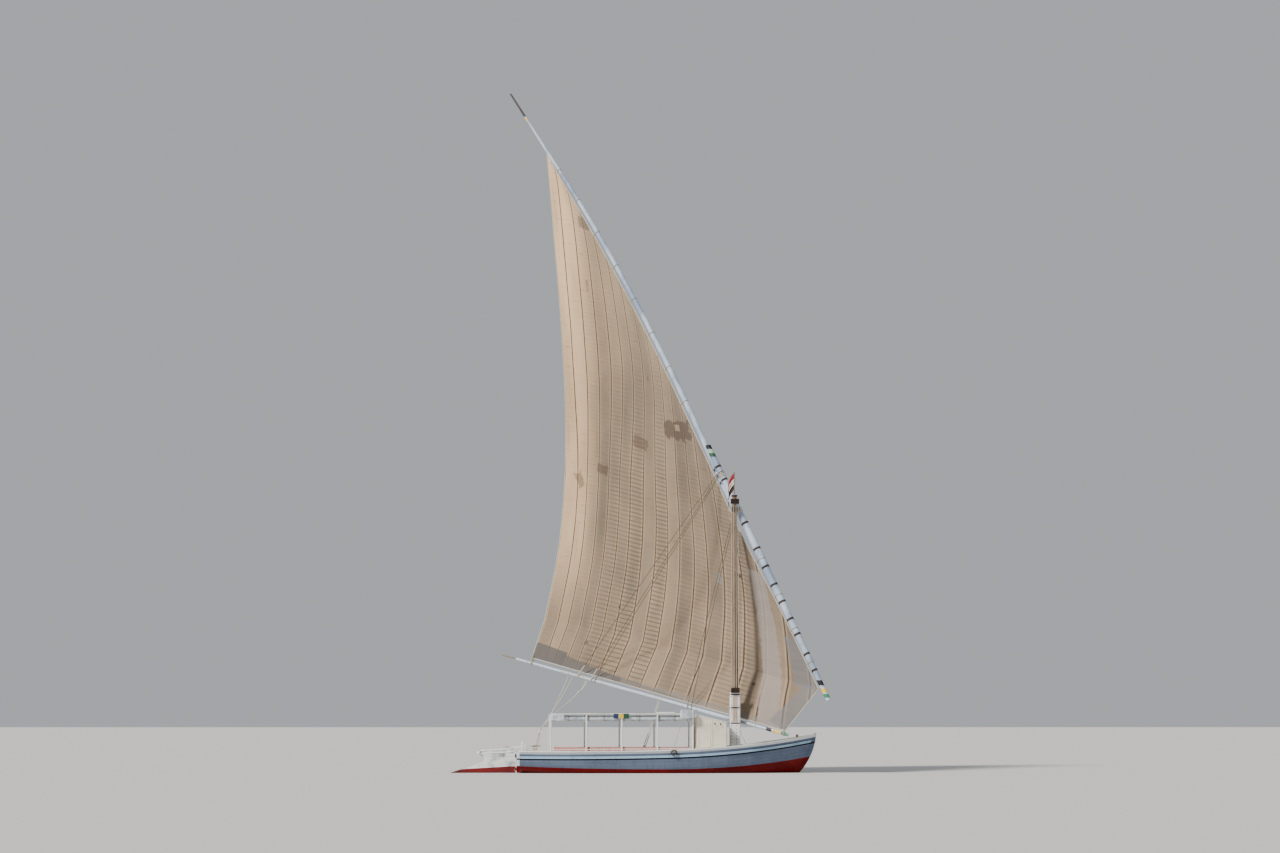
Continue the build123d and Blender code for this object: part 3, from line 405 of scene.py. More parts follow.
def swept(name, path, profile_across, profile_up, across=(0, 1, 0), loop=False, turn=0.0, size=1.0):
    """Profile carried along a path: each path point plus across times one number and up times the other, where
    up is square to the path and to across. The profile turns and grows along the path by turn and size. The
    profile is a closed loop, and the path is a loop too, or else its two ends get flat caps."""
    path = np.asarray(path, float)
    along = np.roll(path, -1, 0) - np.roll(path, 1, 0) if loop else np.gradient(path, axis=0)
    along /= np.linalg.norm(along, axis=1, keepdims=True)
    side = np.broadcast_to(np.asarray(across, float), along.shape)
    side = side - (side * along).sum(1, keepdims=True) * along
    side /= np.linalg.norm(side, axis=1, keepdims=True)
    up = np.cross(along, side)
    turn = np.broadcast_to(turn, len(path))[:, None]
    size = np.broadcast_to(size, len(path))[:, None]
    a, b = np.asarray(profile_across, float)[None], np.asarray(profile_up, float)[None]
    a, b = (a * np.cos(turn) - b * np.sin(turn)) * size, (a * np.sin(turn) + b * np.cos(turn)) * size
    points = path[:, None] + side[:, None] * a[..., None] + up[:, None] * b[..., None]
    rows, count = points.shape[:2]
    i, j = np.meshgrid(np.arange(rows if loop else rows - 1), np.arange(count), indexing="ij")
    k, n = (j + 1) % count, (i + 1) % rows
    faces = np.stack([i * count + j, i * count + k, n * count + k, n * count + j], -1).reshape(-1, 4).tolist()
    if not loop:
        faces.append(list(range(count))[::-1])
        faces.append(list(range((rows - 1) * count, rows * count)))
    return face_outwards(made_mesh(name, points.reshape(-1, 3), faces))


def bar(name, path, radius, **how):
    """Round bar along a path: the profile is a circle of the radius."""
    return swept(name, path, np.cos(round_turn) * radius, np.sin(round_turn) * radius, **how)


def face_outwards(piece):
    """Merges doubled points, then turns every closed shell's faces outwards."""
    shell = bmesh.new()
    shell.from_mesh(piece.data)
    bmesh.ops.remove_doubles(shell, verts=shell.verts, dist=1e-5)
    bmesh.ops.recalc_face_normals(shell, faces=shell.faces)
    shell.to_mesh(piece.data)
    shell.free()
    return piece


def joined(name, pieces):
    """One mesh from several, with their places applied."""
    points, faces, smooth, start = [], [], [], 0
    for piece in pieces:
        mesh = piece.data
        co = np.empty(len(mesh.vertices) * 3)
        mesh.vertices.foreach_get("co", co)
        points.append(co.reshape(-1, 3))
        flags = np.empty(len(mesh.polygons), bool)
        mesh.polygons.foreach_get("use_smooth", flags)
        smooth.append(flags)
        faces += [[v + start for v in p.vertices] for p in mesh.polygons]
        start += len(mesh.vertices)
        bpy.data.objects.remove(piece)
    return made_mesh(name, np.concatenate(points), faces, smooth=np.concatenate(smooth))


rudder_paint = Finish("rudder_paint", roughness=0.42)
share = (rudder_paint.x - RUDDER_AFT) / (RUDDER_FORE - RUDDER_AFT)
red_line = RED_AFT + share * (RED_FORE - RED_AFT)
blade_cloud = rudder_paint.noise(2.2, detail=5)
blade_grain = rudder_paint.noise(30.0, (0.2, 1, 1), 6)
plank = abs(rudder_paint.z % 0.31 - 0.155)
blade_seam = rudder_paint.ramp(plank, 0.148, 0.155)
blade_top = rudder_paint.mix(rudder_paint.ramp(blade_cloud, 0.42, 0.75), WHITE, TOPSIDES_WORN)
blade_top = rudder_paint.mix(blade_seam * 0.5, blade_top, BARE_WOOD)
blade_red = rudder_paint.mix(rudder_paint.ramp(blade_cloud, 0.4, 0.7), BOTTOM_RED, BOTTOM_DARK)
wet = rudder_paint.ramp(rudder_paint.z * -1.0 + rudder_paint.noise(5.0) * 0.05, -0.05, 0.03)
blade_red = rudder_paint.mix(wet * 0.75, blade_red, SLIME)
rudder_paint.set("Base Color", rudder_paint.mix(rudder_paint.z < red_line, blade_top, blade_red))
rudder_paint.relief(blade_grain * 0.4 - blade_seam, 0.005, 0.7)
rudder_paint.on(cad["rudder_blade"])
white_paint.on(cad["rudder_knob"])

round_turn = full_turn(12)
mouldings = []
for side in (-1, 1):
    for depth, tall in MOULDINGS:
        steps = np.linspace(0, 1, 8)[:, None]
        start, end = (np.array([x, side * BLADE_HALF, z - depth]) for x, z in HEAD_TOP)
        start = start - [0.03, 0, 0]
        end = end + [0.06, 0, 0.004]
        mouldings.append(
            swept(
                f"moulding_{side}_{tall}",
                start + (end - start) * steps,
                np.cos(round_turn) * MOULDING_OUT * 0.9,
                np.sin(round_turn) * tall / 2,
            )
        )
rudder_mouldings = joined("rudder_mouldings", mouldings)
white_paint.on(rudder_mouldings)
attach(rudder_mouldings, "rudder")

tiller_finish = white_work("tiller_paint", WHITE, BARE_WOOD, (0.2, 1, 1), 0.5, 0.6)
tiller_finish.on(cad["tiller"])

# Ironwork: forged gudgeons, pintles, straps and bolts, tarred black, with rust where the tar has gone.
IRON = paint_value(38, 37, 38)
RUST = paint_value(112, 62, 36)

ironwork = Finish("tarred_iron", roughness=0.6, metallic=0.55)
iron_cloud = ironwork.noise(22.0, detail=6)
ironwork.set("Base Color", ironwork.mix(ironwork.ramp(iron_cloud, 0.52, 0.68), IRON, RUST))
ironwork.set("Roughness", 0.45 + ironwork.ramp(iron_cloud, 0.45, 0.7) * 0.4)
ironwork.relief(iron_cloud, 0.0015, 0.8)
ironwork.on(cad["gudgeons"], cad["pintles"], cad["mast_straps"], cad["halyard_blocks"], cad["masthead_cap"])


def bolt_heads(name, places, facing, radius=0.016, proud=0.009):
    """Domed heads: rings whose radius falls as the cosine and whose height grows as the sine of a quarter turn,
    set at every place, with the dome's axis along facing."""
    facing = np.asarray(facing, float)
    side = np.cross(facing, (0.0, 0.0, 1.0))
    side = side / np.linalg.norm(side) if np.linalg.norm(side) > 1e-6 else np.array([1.0, 0, 0])
    up = np.cross(facing, side)
    rise = np.array([-0.4, 0.0, 0.5, 0.85, 1.0]) * np.pi / 2
    turn = full_turn(8)
    out = np.where(rise < 0, 1.0, np.cos(np.maximum(rise, 0)))[:, None]
    out = np.maximum(out, 0.02)
    one = (
        side * (np.cos(turn) * radius * out)[..., None]
        + up * (np.sin(turn) * radius * out)[..., None]
        + facing * np.where(rise < 0, -0.3, np.sin(rise))[:, None, None] * proud
    ).reshape(-1, 3)
    i, j = np.meshgrid(np.arange(4), np.arange(8), indexing="ij")
    k = (j + 1) % 8
    quads = np.stack([i * 8 + j, i * 8 + k, (i + 1) * 8 + k, (i + 1) * 8 + j], -1).reshape(-1, 4)
    ends = np.array([[7, 6, 5, 4], [3, 2, 1, 0], [7, 4, 3, 0], [32, 33, 34, 35], [36, 37, 38, 39], [32, 35, 36, 39]])
    face_set = np.concatenate([quads, ends])
    places = np.asarray(places, float)
    points = (places[:, None] + one[None]).reshape(-1, 3)
    faces = (face_set[None] + np.arange(len(places))[:, None, None] * len(one)).reshape(-1, 4)
    return face_outwards(made_mesh(name, points, faces))


# Canopy: welded steel posts and rails under white gloss paint. A cotton awning lies stretched over the rails,
# dips a little between the cross rails, and its hem is turned down over the side rails and roped.
POST_X = -4.45 + 1.352 * np.arange(5)
POST_Y = 1.305
RAIL_TOP = 2.257
ROOF_X = (-4.495, 0.982)
ROOF_HALF = 1.350
ROOF_SAG = 0.010
AWNING_THICK = 0.005
ROPE_PALE = paint_value(196, 186, 164)
ROPE_DARK = paint_value(120, 106, 84)

steel_paint = Finish("steel_gloss", roughness=0.3, Coat_Weight=0.4, Coat_Roughness=0.2)
steel_cloud = steel_paint.noise(6.0, detail=6)
steel_chip = steel_paint.ramp(steel_paint.noise(28.0, detail=8), 0.66, 0.69)
steel_white = steel_paint.mix(steel_paint.ramp(steel_cloud, 0.45, 0.75) * 0.4, WHITE, WHITE_WORN)
steel_paint.set("Base Color", steel_paint.mix(steel_chip * 0.6, steel_white, RUST))
steel_paint.set("Roughness", 0.28 + steel_paint.ramp(steel_cloud, 0.4, 0.8) * 0.3)
steel_paint.relief(steel_cloud - steel_chip, 0.001, 0.6)
steel_paint.on(cad["canopy_frame"], cad["guard_rails"], cad["stern_rail"])


def surface(name, points, uv=None):
    """Mesh of quads over a grid of points, rows by columns."""
    rows, count = points.shape[:2]
    i, j = np.meshgrid(np.arange(rows - 1), np.arange(count - 1), indexing="ij")
    corner = i * count + j
    faces = np.stack([corner, corner + 1, corner + count + 1, corner + count], -1).reshape(-1, 4)
    flat = None if uv is None else uv.reshape(-1, 2)
    return made_mesh(name, points.reshape(-1, 3), faces, flat)


def thickened(piece, thick):
    """Gives a sheet its thickness, half to each side."""
    solid = piece.modifiers.new("thickness", "SOLIDIFY")
    solid.thickness = thick
    solid.offset = 0
    return piece


def woven(name, pale, dark, threads=0.004, crease_shade=0.5):
    """Plain-woven cotton on laid-out coordinates: fine crossed threads, soft creases, painted shade in the creases.
    """
    finish = Finish(name, roughness=0.85, Sheen_Weight=0.25)
    across, along = finish.uv()
    warp = finish.sum("SINE", across * (2 * math.pi / threads))
    weft = finish.sum("SINE", along * (2 * math.pi / threads))
    cloud = finish.noise(3.2, detail=6)
    crease = finish.noise(7.0, (1, 0.5, 2.0), 6)
    colour = finish.mix(finish.ramp(cloud, 0.38, 0.72), pale, dark)
    # Painted shade: the creases are darkened towards a deeper copy of the dark colour.
    colour = finish.mix(finish.ramp(crease, 0.5, 0.75) * crease_shade, colour, darker(dark, 0.72))
    finish.set("Base Color", colour)
    finish.relief(crease * 1.6 + warp * weft * 0.05, 0.006, 0.7)
    return finish


across, along = np.meshgrid(np.linspace(-1, 1, 81), np.linspace(0, 1, 161), indexing="xy")
bays = np.sin(np.pi * along * 4) ** 2 * np.sqrt(1 - np.minimum(np.abs(across), 1) ** 2)
turned = np.maximum(np.abs(across) * ROOF_HALF - POST_Y, 0) / (ROOF_HALF - POST_Y)
ripple = 0.0015 * np.sin(along * 61 + across * 3) * np.abs(across) ** 3 + 0.001 * np.sin(across * 17 + along * 11)
roof_points = np.stack(
    [
        ROOF_X[0] + (ROOF_X[1] - ROOF_X[0]) * along,
        across * (ROOF_HALF - 0.012 * turned**2),
        RAIL_TOP + 0.0035 + 0.010 * (1 - across**2) - ROOF_SAG * bays + ripple - 0.032 * turned**1.6,
    ],
    -1,
)
roof_uv = np.stack([across * ROOF_HALF, along * (ROOF_X[1] - ROOF_X[0])], -1)
awning = thickened(surface("awning", roof_points, roof_uv), AWNING_THICK)
awning_cloth = woven("awning_cloth", paint_value(236, 236, 232), paint_value(206, 206, 200))
awning_cloth.on(awning)
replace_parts(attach(awning, "hull"), "canopy_roof")

three_strands = 1.0 + 0.13 * np.cos(3 * round_turn)
EDGE_ROPE = 0.009


def laid_rope(name, path, radius, lay=9.0, across=(0, 1, 0), loop=False):
    """Three-strand rope along a path: a round profile with three lobes, turned once for each lay radii."""
    path = np.asarray(path, float)
    steps = np.linalg.norm(np.diff(path, axis=0), axis=1)
    run = np.concatenate([[0], np.cumsum(steps)])
    turns = run * 2 * np.pi / (lay * radius)
    if loop:
        whole = run[-1] + np.linalg.norm(path[0] - path[-1])
        turns = run / whole * 2 * np.pi * max(1, round(whole / (lay * radius)))
    return swept(
        name,
        path,
        np.cos(round_turn) * three_strands * radius * 0.9,
        np.sin(round_turn) * three_strands * radius * 0.9,
        across,
        loop,
        turns,
    )


def rope_finish(name, pale, dark, scale=60.0):
    """Hemp rope: fibres and dirt in fine noise, darker between the strands through the bump."""
    finish = Finish(name, roughness=0.9)
    fibre = finish.noise(scale * 4, (1, 1, 1), 6)
    dirt = finish.noise(scale * 0.1, (1, 1, 1), 4)
    colour = finish.mix(finish.ramp(fibre, 0.35, 0.7), pale, dark)
    finish.set("Base Color", finish.mix(finish.ramp(dirt, 0.5, 0.75) * 0.5, colour, dark))
    finish.relief(fibre, 0.002, 0.7)
    return finish


hemp = rope_finish("hemp", ROPE_PALE, ROPE_DARK)
hems = []
for side in (-1, 1):
    run = np.linspace(ROOF_X[0] + 0.01, ROOF_X[1] - 0.01, 700)
    line = np.stack([run, np.full_like(run, side * (ROOF_HALF - 0.016)), np.full_like(run, RAIL_TOP - 0.028)], -1)
    hems.append(laid_rope(f"hem_{side}", line, EDGE_ROPE))
awning_hem = joined("awning_hem", hems)
hemp.on(awning_hem)
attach(awning_hem, "hull")

# Side curtains: cotton drops rolled up tight under the side rails, tied at every post and once between, so the
# rolls bulge between the ties and show their spiral at the ends.
ROLL_R = 0.110
ROLL_Y = POST_Y - 0.03 - 0.112 - 0.0003
ROLL_Z = RAIL_TOP - 0.048 - 0.010 - 0.112
ROLL_X = (-4.410, 0.918)
ROLL_TURNS = 7
TIES = np.sort(np.concatenate([POST_X[1:-1] + 0.09, (POST_X[:-1] + POST_X[1:]) / 2, [-4.25, 0.75]]))

canvas = woven("curtain_canvas", paint_value(206, 214, 222), paint_value(160, 170, 180))


def curtain_roll(name, side):
    """Rolled cloth: radius falls by a bell curve at each tie, swells between, ripples with the angle, and steps
    at the free edge. Both ends go in to the middle along ridges of a spiral."""
    x = np.linspace(0, 1, 190)
    turn = np.linspace(0, 2 * np.pi, 49)
    share = np.concatenate([np.linspace(0, 1, 22)[:-1], np.ones(len(x)), np.linspace(1, 0, 22)[1:]])
    place = np.concatenate([np.zeros(21), x, np.ones(21)])
    share, place, turn = share[:, None], place[:, None], turn[None]
    at = ROLL_X[0] + 0.012 + (ROLL_X[1] - ROLL_X[0] - 0.024) * place
    pinch = np.exp(-(((at[..., None] - TIES) / 0.055) ** 2)).sum(-1)
    sag = np.abs(np.sin(np.pi * (at - POST_X[0]) / 0.676)) * 0.006
    wave = 0.016 * np.sin(2 * turn + 5 * at) + 0.012 * np.sin(5 * turn - 9 * at) + 0.008 * np.sin(23 * at + turn)
    edge = (turn / (2 * np.pi) + 0.3) % 1.0
    radius = ROLL_R * (0.985 - 0.11 * pinch + wave * 0.6 - 0.05 * edge)
    ridge = 0.006 * np.sin(2 * np.pi * (ROLL_TURNS * share - turn / (2 * np.pi))) * (share < 1)
    inward = (0.014 * (1 - share) - ridge) * np.where(place < 0.5, 1, -1)
    radius = radius * share
    points = np.stack(
        [
            at + inward,
            side * ROLL_Y + radius * np.cos(turn),
            ROLL_Z - sag + radius * np.sin(turn),
        ],
        -1,
    )
    laid = np.stack([turn * ROLL_R + 0 * at, at + 0 * turn], -1)
    made = surface(name, points, laid)
    canvas.on(made)
    return face_outwards(made)


for side, word in ((-1, "starboard"), (1, "port")):
    roll = curtain_roll(f"curtain_roll_{word}", side)
    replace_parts(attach(roll, "hull"), "curtain_rolls")
    straps = []
    for at in TIES:
        turn = full_turn(36)
        lift = np.where(np.sin(turn) > 0, 0.016 * np.sin(turn) ** 8, 0)
        ring = np.stack(
            [
                np.full_like(turn, at),
                side * ROLL_Y + ROLL_R * 0.9 * np.cos(turn),
                ROLL_Z - 0.004 + (ROLL_R * 0.9 + lift) * np.sin(turn),
            ],
            -1,
        )
        band = [-0.016, 0.016, 0.016, -0.016], [-0.003, -0.003, 0.003, 0.003]
        straps.append(swept("tie", ring, *band, across=(1, 0, 0), loop=True))
    ties = joined(f"curtain_ties_{word}", straps)
    hemp.on(ties)
    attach(ties, "hull")

# Curtain bundles: the two corner drops folded into fat packs and lashed outside the end posts.
# For each pack: its middle's x, length, width, height, its middle's z, and the y of its inner side.
BUNDLES = [(-4.200, 0.540, 0.190, 0.285, 2.111, -1.3353), (0.745, 0.570, 0.190, 0.350, 2.240, -1.3503)]
PACK_SQUARE = 0.42  # the smaller this power, the squarer the pack
BITE = 0.90  # how far out the lashings lie, as a share of the pack's half sizes


def power(value, by):
    """A number's size raised to a power, with its sign kept."""
    return np.sign(value) * np.abs(value) ** by


def pack_surface(middle, half, crease_shade, seed):
    """Closed pack: a rounded box, whose sides follow a cosine and a sine raised to a small power, with folds as
    waves round it and a waist where the two lashings bite."""
    round_way, tall = np.meshgrid(np.linspace(0, 2 * np.pi, 97), np.linspace(-np.pi / 2, np.pi / 2, 49))
    ring = power(np.cos(tall), 0.32)
    a = ring * power(np.cos(round_way), PACK_SQUARE)
    b = ring * power(np.sin(round_way), PACK_SQUARE)
    c = power(np.sin(tall), PACK_SQUARE)
    wave = 0.03 * np.sin(crease_shade * c * 3 + 2 * a + seed) + 0.02 * np.sin(5 * round_way + 4 * c + seed)
    waist = 1 - 0.10 * np.exp(-(((np.abs(a) - 0.5) / 0.07) ** 2))
    swell = 0.97 * waist * (1 + wave * (1 - np.abs(a) ** 6))
    points = np.stack([a * half[0] * 0.985, b * half[1] * swell, c * half[2] * swell], -1) + middle
    laid = np.stack([round_way * half[0], tall * half[2]], -1)
    return points, laid


for number, (mid_x, long, wide, tall, mid_z, inner_y) in enumerate(BUNDLES):
    middle = np.array([mid_x, inner_y - wide / 2, mid_z])
    half = np.array([long / 2, wide / 2, tall / 2])
    points, laid = pack_surface(middle, half, 5, number * 2.0)
    bundle = face_outwards(surface(f"curtain_bundle_{number}", points, laid))
    canvas.on(bundle)
    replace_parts(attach(bundle, "hull"), "curtain_bundles")
    turn = full_turn(160)
    loops = []
    for shift in (-0.5, 0.5):
        wide_way, up_way = power(np.cos(turn), PACK_SQUARE), power(np.sin(turn), PACK_SQUARE)
        ring = middle + np.stack(
            [np.full_like(turn, shift * half[0]), wide_way * half[1] * BITE, up_way * half[2] * BITE], -1
        )
        loops.append(laid_rope("bite", ring, 0.008, across=(1, 0, 0), loop=True))
    lashing = joined(f"bundle_lashing_{number}", loops)
    hemp.on(lashing)
    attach(lashing, "hull")

# Striped panel: a board under the starboard rail, fixed to the canopy frame and painted in three plain bands,
# which the dust has dulled.
PANEL_BANDS = [(-1.88, paint_value(28, 44, 98)), (-1.69, paint_value(222, 190, 62)), (9.0, paint_value(22, 74, 52))]

panel_paint = Finish("panel_paint", roughness=0.45)
band_tone = PANEL_BANDS[0][1]
for (edge, _), (_, colour) in zip(PANEL_BANDS, PANEL_BANDS[1:]):
    band_tone = panel_paint.mix(panel_paint.x > edge, band_tone, colour)
panel_dust = panel_paint.noise(9.0, detail=6)
panel_paint.set("Base Color", panel_paint.mix(panel_paint.ramp(panel_dust, 0.5, 0.8) * 0.35, band_tone, BARE_WOOD))
panel_paint.relief(panel_paint.noise(40, (0.2, 1, 1), 5), 0.001, 0.6)
panel_paint.on(cad["canopy_panel"])

# Cushions: cotton covers in faded red and rose stripes over cotton stuffing, four to a side on the benches and
# four behind them. Each is a box pad with piped edges, crowned on top, its sides pulled in between the corners.
PAD_RUN = 1.2875
PAD_X0 = -4.28 + (PAD_RUN + 0.02) * np.arange(4)
STRIPE_RED = paint_value(176, 52, 58)
STRIPE_ROSE = paint_value(214, 148, 142)
STRIPE_CREAM = paint_value(226, 212, 192)

cover = Finish("striped_cover", roughness=0.85, Sheen_Weight=0.3)
beat = cover.x % 0.128
cover_tone = cover.mix(abs(beat - 0.064) < 0.030, STRIPE_ROSE, STRIPE_RED)
cover_tone = cover.mix(abs(beat - 0.064) < 0.008, cover_tone, STRIPE_CREAM)
cover_fade = cover.noise(4.0, detail=5)
cover_tone = cover.mix(cover.ramp(cover_fade, 0.42, 0.7) * 0.4, cover_tone, paint_value(196, 160, 150))
cover.set("Base Color", cover_tone)
cover_weave = cover.noise(420.0, detail=2)
cover_crease = cover.noise(14.0, detail=6)
cover.relief(cover_crease * 1.2 + cover_weave * 0.2, 0.005, 0.8)
piping_cloth = Finish("piping", roughness=0.8, Sheen_Weight=0.2)
piping_cloth.set("Base Color", piping_cloth.mix(piping_cloth.noise(60.0), STRIPE_RED, STRIPE_CREAM))


def pad_surface(middle, half, crown, seed):
    """Box pad: plan point (a, b) on a square, drawn in between the corners by 1 less the other side's square. Top
    and bottom rise by a crown of (1 - a^4)(1 - b^2), dented by buttons, and the border bulges as a sine."""
    a, b = np.meshgrid(np.linspace(-1, 1, 65), np.linspace(-1, 1, 25), indexing="ij")

    def plan(a, b, out):
        x = a * (half[0] - 0.012 * (1 - b**2)) + out * a
        y = b * (half[1] - 0.012 * (1 - a**6)) + out * b
        return x, y

    x, y = plan(a, b, 0)
    button = np.exp(-(((np.abs(a) - 0.33) ** 2 * half[0] ** 2 + (b * half[1]) ** 2) / 0.0018))
    rumple = 0.10 * np.sin(7 * a + 3 * b + seed) + 0.07 * np.sin(15 * a - 6 * b + 2 * seed)
    swell = (1 - a**4) * (1 - b**2) * (1 + rumple) - 0.7 * button
    rim = half[2] * 0.60
    top = np.stack([x, y, rim + crown * swell], -1)
    low = np.stack([x, y, -rim - crown * 0.4 * swell], -1)
    edge_a = np.concatenate([np.linspace(-1, 1, 65)[:-1], np.ones(24), np.linspace(1, -1, 65)[:-1], -np.ones(25)])
    edge_b = np.concatenate([-np.ones(64), np.linspace(-1, 1, 25)[:-1], np.ones(64), np.linspace(1, -1, 25)])
    level = np.linspace(1, -1, 9)[:, None]
    x, y = plan(edge_a[None], edge_b[None], 0.010 * (1 - level**2))
    border = np.stack([x, y, rim * level + 0 * x], -1)
    rim_line = np.stack([*plan(edge_a, edge_b, 0.001), np.full_like(edge_a, rim)], -1)[:-1]
    return [part + middle for part in (top, low, border)], rim_line + middle


def pad(name, node, middle, half, crown, turned_up, seed):
    """One cushion and its piping, lying flat or turned up to stand as a back."""
    shells, rim = pad_surface(np.zeros(3), half, crown, seed)

    def placed(points):
        if turned_up:
            points = points[..., [0, 2, 1]] * [1, -math.copysign(1, middle[1]), 1]
        return points + middle

    cushion = joined(name, [surface(f"{name}_{n}", placed(part)) for n, part in enumerate(shells)])
    face_outwards(cushion)
    cover.on(cushion)
    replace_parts(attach(cushion, "hull"), node)
    thin = np.cos(round_turn[::2]) * 0.006, np.sin(round_turn[::2]) * 0.006
    edge = swept(f"{name}_piping", placed(rim), *thin, across=(0, 1, 0) if turned_up else (0, 0, 1), loop=True)
    piping_cloth.on(edge)
    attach(edge, "hull")


for side, word in ((-1, "starboard"), (1, "port")):
    for number, x0 in enumerate(PAD_X0):
        seat_middle = np.array([x0 + PAD_RUN / 2, side * 1.060, 0.522])
        pad(f"seat_{word}_{number}", "seat_cushions", seat_middle, (0.632, 0.168, 0.040), 0.022, False, number + side)
        back_middle = np.array([x0 + PAD_RUN / 2, side * 1.2297, 0.780])
        pad(f"back_{word}_{number}", "back_cushions", back_middle, (0.632, 0.198, 0.034), 0.018, True, number - side)

# Cuddy: a locker of framed plywood panels under a sloping roof, all cream paint. Each side has two panels
# inside raised stiles and rails, and the doorway aft has its own casing.
CREAM = paint_value(236, 228, 210)
CREAM_WORN = paint_value(206, 194, 168)
CUDDY_X = (1.12, 2.25)
CUDDY_HALF = 1.25
CUDDY_AFT_TOP = 2.205
CUDDY_SLOPE = (2.205 - 1.925) / 1.13
PANEL_LOW = 0.96  # lower edge of the side panels' frames
STILE = 0.050
STILE_PROUD = 0.014

cream_paint = white_work("cream_paint", CREAM, CREAM_WORN, (1.0, 1.0, 0.25), 0.42, 0.4)
cream_paint.on(cad["cuddy_walls"])
white_paint.on(cad["cuddy_roof"])


def casing(name, corners, wide, proud, out):
    """Mitred frame of four strips round a panel: the outer loop, the inner loop moved in by the strip's width
    along both edges, and both again lifted by how proud it stands."""
    corners = np.asarray(corners, float)
    out = np.asarray(out, float)
    to_next = np.roll(corners, -1, 0) - corners
    to_next /= np.linalg.norm(to_next, axis=1, keepdims=True)
    to_last = -np.roll(to_next, 1, 0)
    inner = corners + (to_next + to_last) * wide
    lift = out * proud
    soft = (to_next + to_last) * 0.004
    outer_rings = [corners - out * 0.004, corners + lift * 0.7, corners + soft + lift]
    inner_rings = [inner - soft + lift, inner + lift * 0.7, inner - out * 0.004]
    points = np.stack(outer_rings + inner_rings, 0)
    rows = len(points)
    i, j = np.meshgrid(np.arange(rows), np.arange(4), indexing="ij")
    k, n = (j + 1) % 4, (i + 1) % rows
    faces = np.stack([i * 4 + j, i * 4 + k, n * 4 + k, n * 4 + j], -1).reshape(-1, 4)
    return face_outwards(made_mesh(name, points.reshape(-1, 3), faces, smooth=False))


def roof_height(x):
    return CUDDY_AFT_TOP - CUDDY_SLOPE * (x - CUDDY_X[0]) - 0.012


casings = []
for side in (-1, 1):
    for x0, x1 in ((1.135, 1.640), (1.665, 2.235)):
        face = side * (CUDDY_HALF + 0.0003)
        low_edge = [(x0, face, PANEL_LOW), (x1, face, PANEL_LOW + 0.02)]
        frame_corners = low_edge + [(x1, face, roof_height(x1)), (x0, face, roof_height(x0))]
        casings.append(casing("side_casing", frame_corners, STILE, STILE_PROUD, (0, side, 0)))
    y0, y1 = side * 0.40, side * 1.235
    aft_corners = [(CUDDY_X[0] - 0.0003, y, z) for y, z in ((y0, 0.62), (y1, 0.62), (y1, 2.18), (y0, 2.18))]
    casings.append(casing("aft_casing", aft_corners, STILE, STILE_PROUD, (-1, 0, 0)))
door_corners = [(CUDDY_X[0] - 0.0003, y, z) for y, z in ((-0.38, 0.20), (0.38, 0.20), (0.38, 2.01), (-0.38, 2.01))]
casings.append(casing("door_casing", door_corners, 0.058, 0.018, (-1, 0, 0)))
fore_corners = [(CUDDY_X[1] + 0.0003, y, z) for y, z in ((-1.20, 1.12), (1.20, 1.12), (1.20, 1.90), (-1.20, 1.90))]
casings.append(casing("fore_casing", fore_corners, STILE, STILE_PROUD, (1, 0, 0)))
cuddy_casings = joined("cuddy_casings", casings)
cream_paint.on(cuddy_casings)
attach(cuddy_casings, "hull")

# Cuddy fittings: two dark iron hooks high on the starboard side, each bolted on through a round plate.
# Nothing hangs from them.
HOOK_ROD = 0.008
HOOK_BEND = 0.028
HOOK_OUT = 0.03

hook_places = [(1.80, -CUDDY_HALF - 0.016, 1.885), (2.02, -CUDDY_HALF - 0.016, 1.866)]
hook_path_turn = np.linspace(0.0, 1.25 * np.pi, 22)
hooks = []
for x, y, z in hook_places:
    stem = np.stack([np.full(6, x), np.linspace(y + 0.014, y - HOOK_OUT, 6), np.full(6, z)], -1)
    bend = np.stack(
        [
            np.full_like(hook_path_turn, x),
            y - HOOK_OUT - HOOK_BEND * np.sin(hook_path_turn),
            z - HOOK_BEND + HOOK_BEND * np.cos(hook_path_turn),
        ],
        -1,
    )
    line = np.concatenate([stem, bend[1:]])
    hooks.append(bar("hook", line, HOOK_ROD, across=(1, 0, 0)))
hooks.append(bolt_heads("hook_plates", [(x, y + 0.004, z) for x, y, z in hook_places], (0, -1, 0), 0.030, 0.010))
cuddy_hooks = joined("cuddy_hooks", hooks)
ironwork.on(cuddy_hooks)
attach(cuddy_hooks, "hull")

# Mast and tabernacle: a grown pole, oiled dark, between two painted cheeks through-bolted under iron straps,
# with two braces down to the foredeck.
MAST_X = 2.66
CHEEK_Y = 0.1823
BOLT_ROWS = [(-0.135, np.arange(1.15, 1.80, 0.13)), (0.045, np.arange(1.15, 1.80, 0.13))]
STRAP_Z = [1.900, 2.490, 3.000]
BARE_FACE = (1.94, 2.97, 0.090)  # the cheeks' unpainted face between white edges: lowest, highest, half width

mast_wood = Finish("oiled_pole", roughness=0.5)
mast_grain = mast_wood.noise(40.0, (1, 1, 0.05), 8)
mast_shade = mast_wood.noise(2.5, (1, 1, 0.4), 5)
mast_crack = mast_wood.ramp(mast_wood.noise(16.0, (1, 1, 0.06), 6), 0.62, 0.66)
mast_tone = mast_wood.mix(mast_wood.ramp(mast_grain, 0.35, 0.7), paint_value(132, 106, 84), paint_value(88, 66, 50))
mast_tone = mast_wood.mix(mast_wood.ramp(mast_shade, 0.4, 0.7) * 0.4, mast_tone, paint_value(150, 130, 110))
mast_wood.set("Base Color", mast_wood.mix(mast_crack * 0.8, mast_tone, paint_value(42, 28, 20)))
mast_wood.relief(mast_grain * 0.5 - mast_crack, 0.004, 0.8)
mast_wood.on(cad["mast"], cad["flag_staff"], cad["boom_tip"])

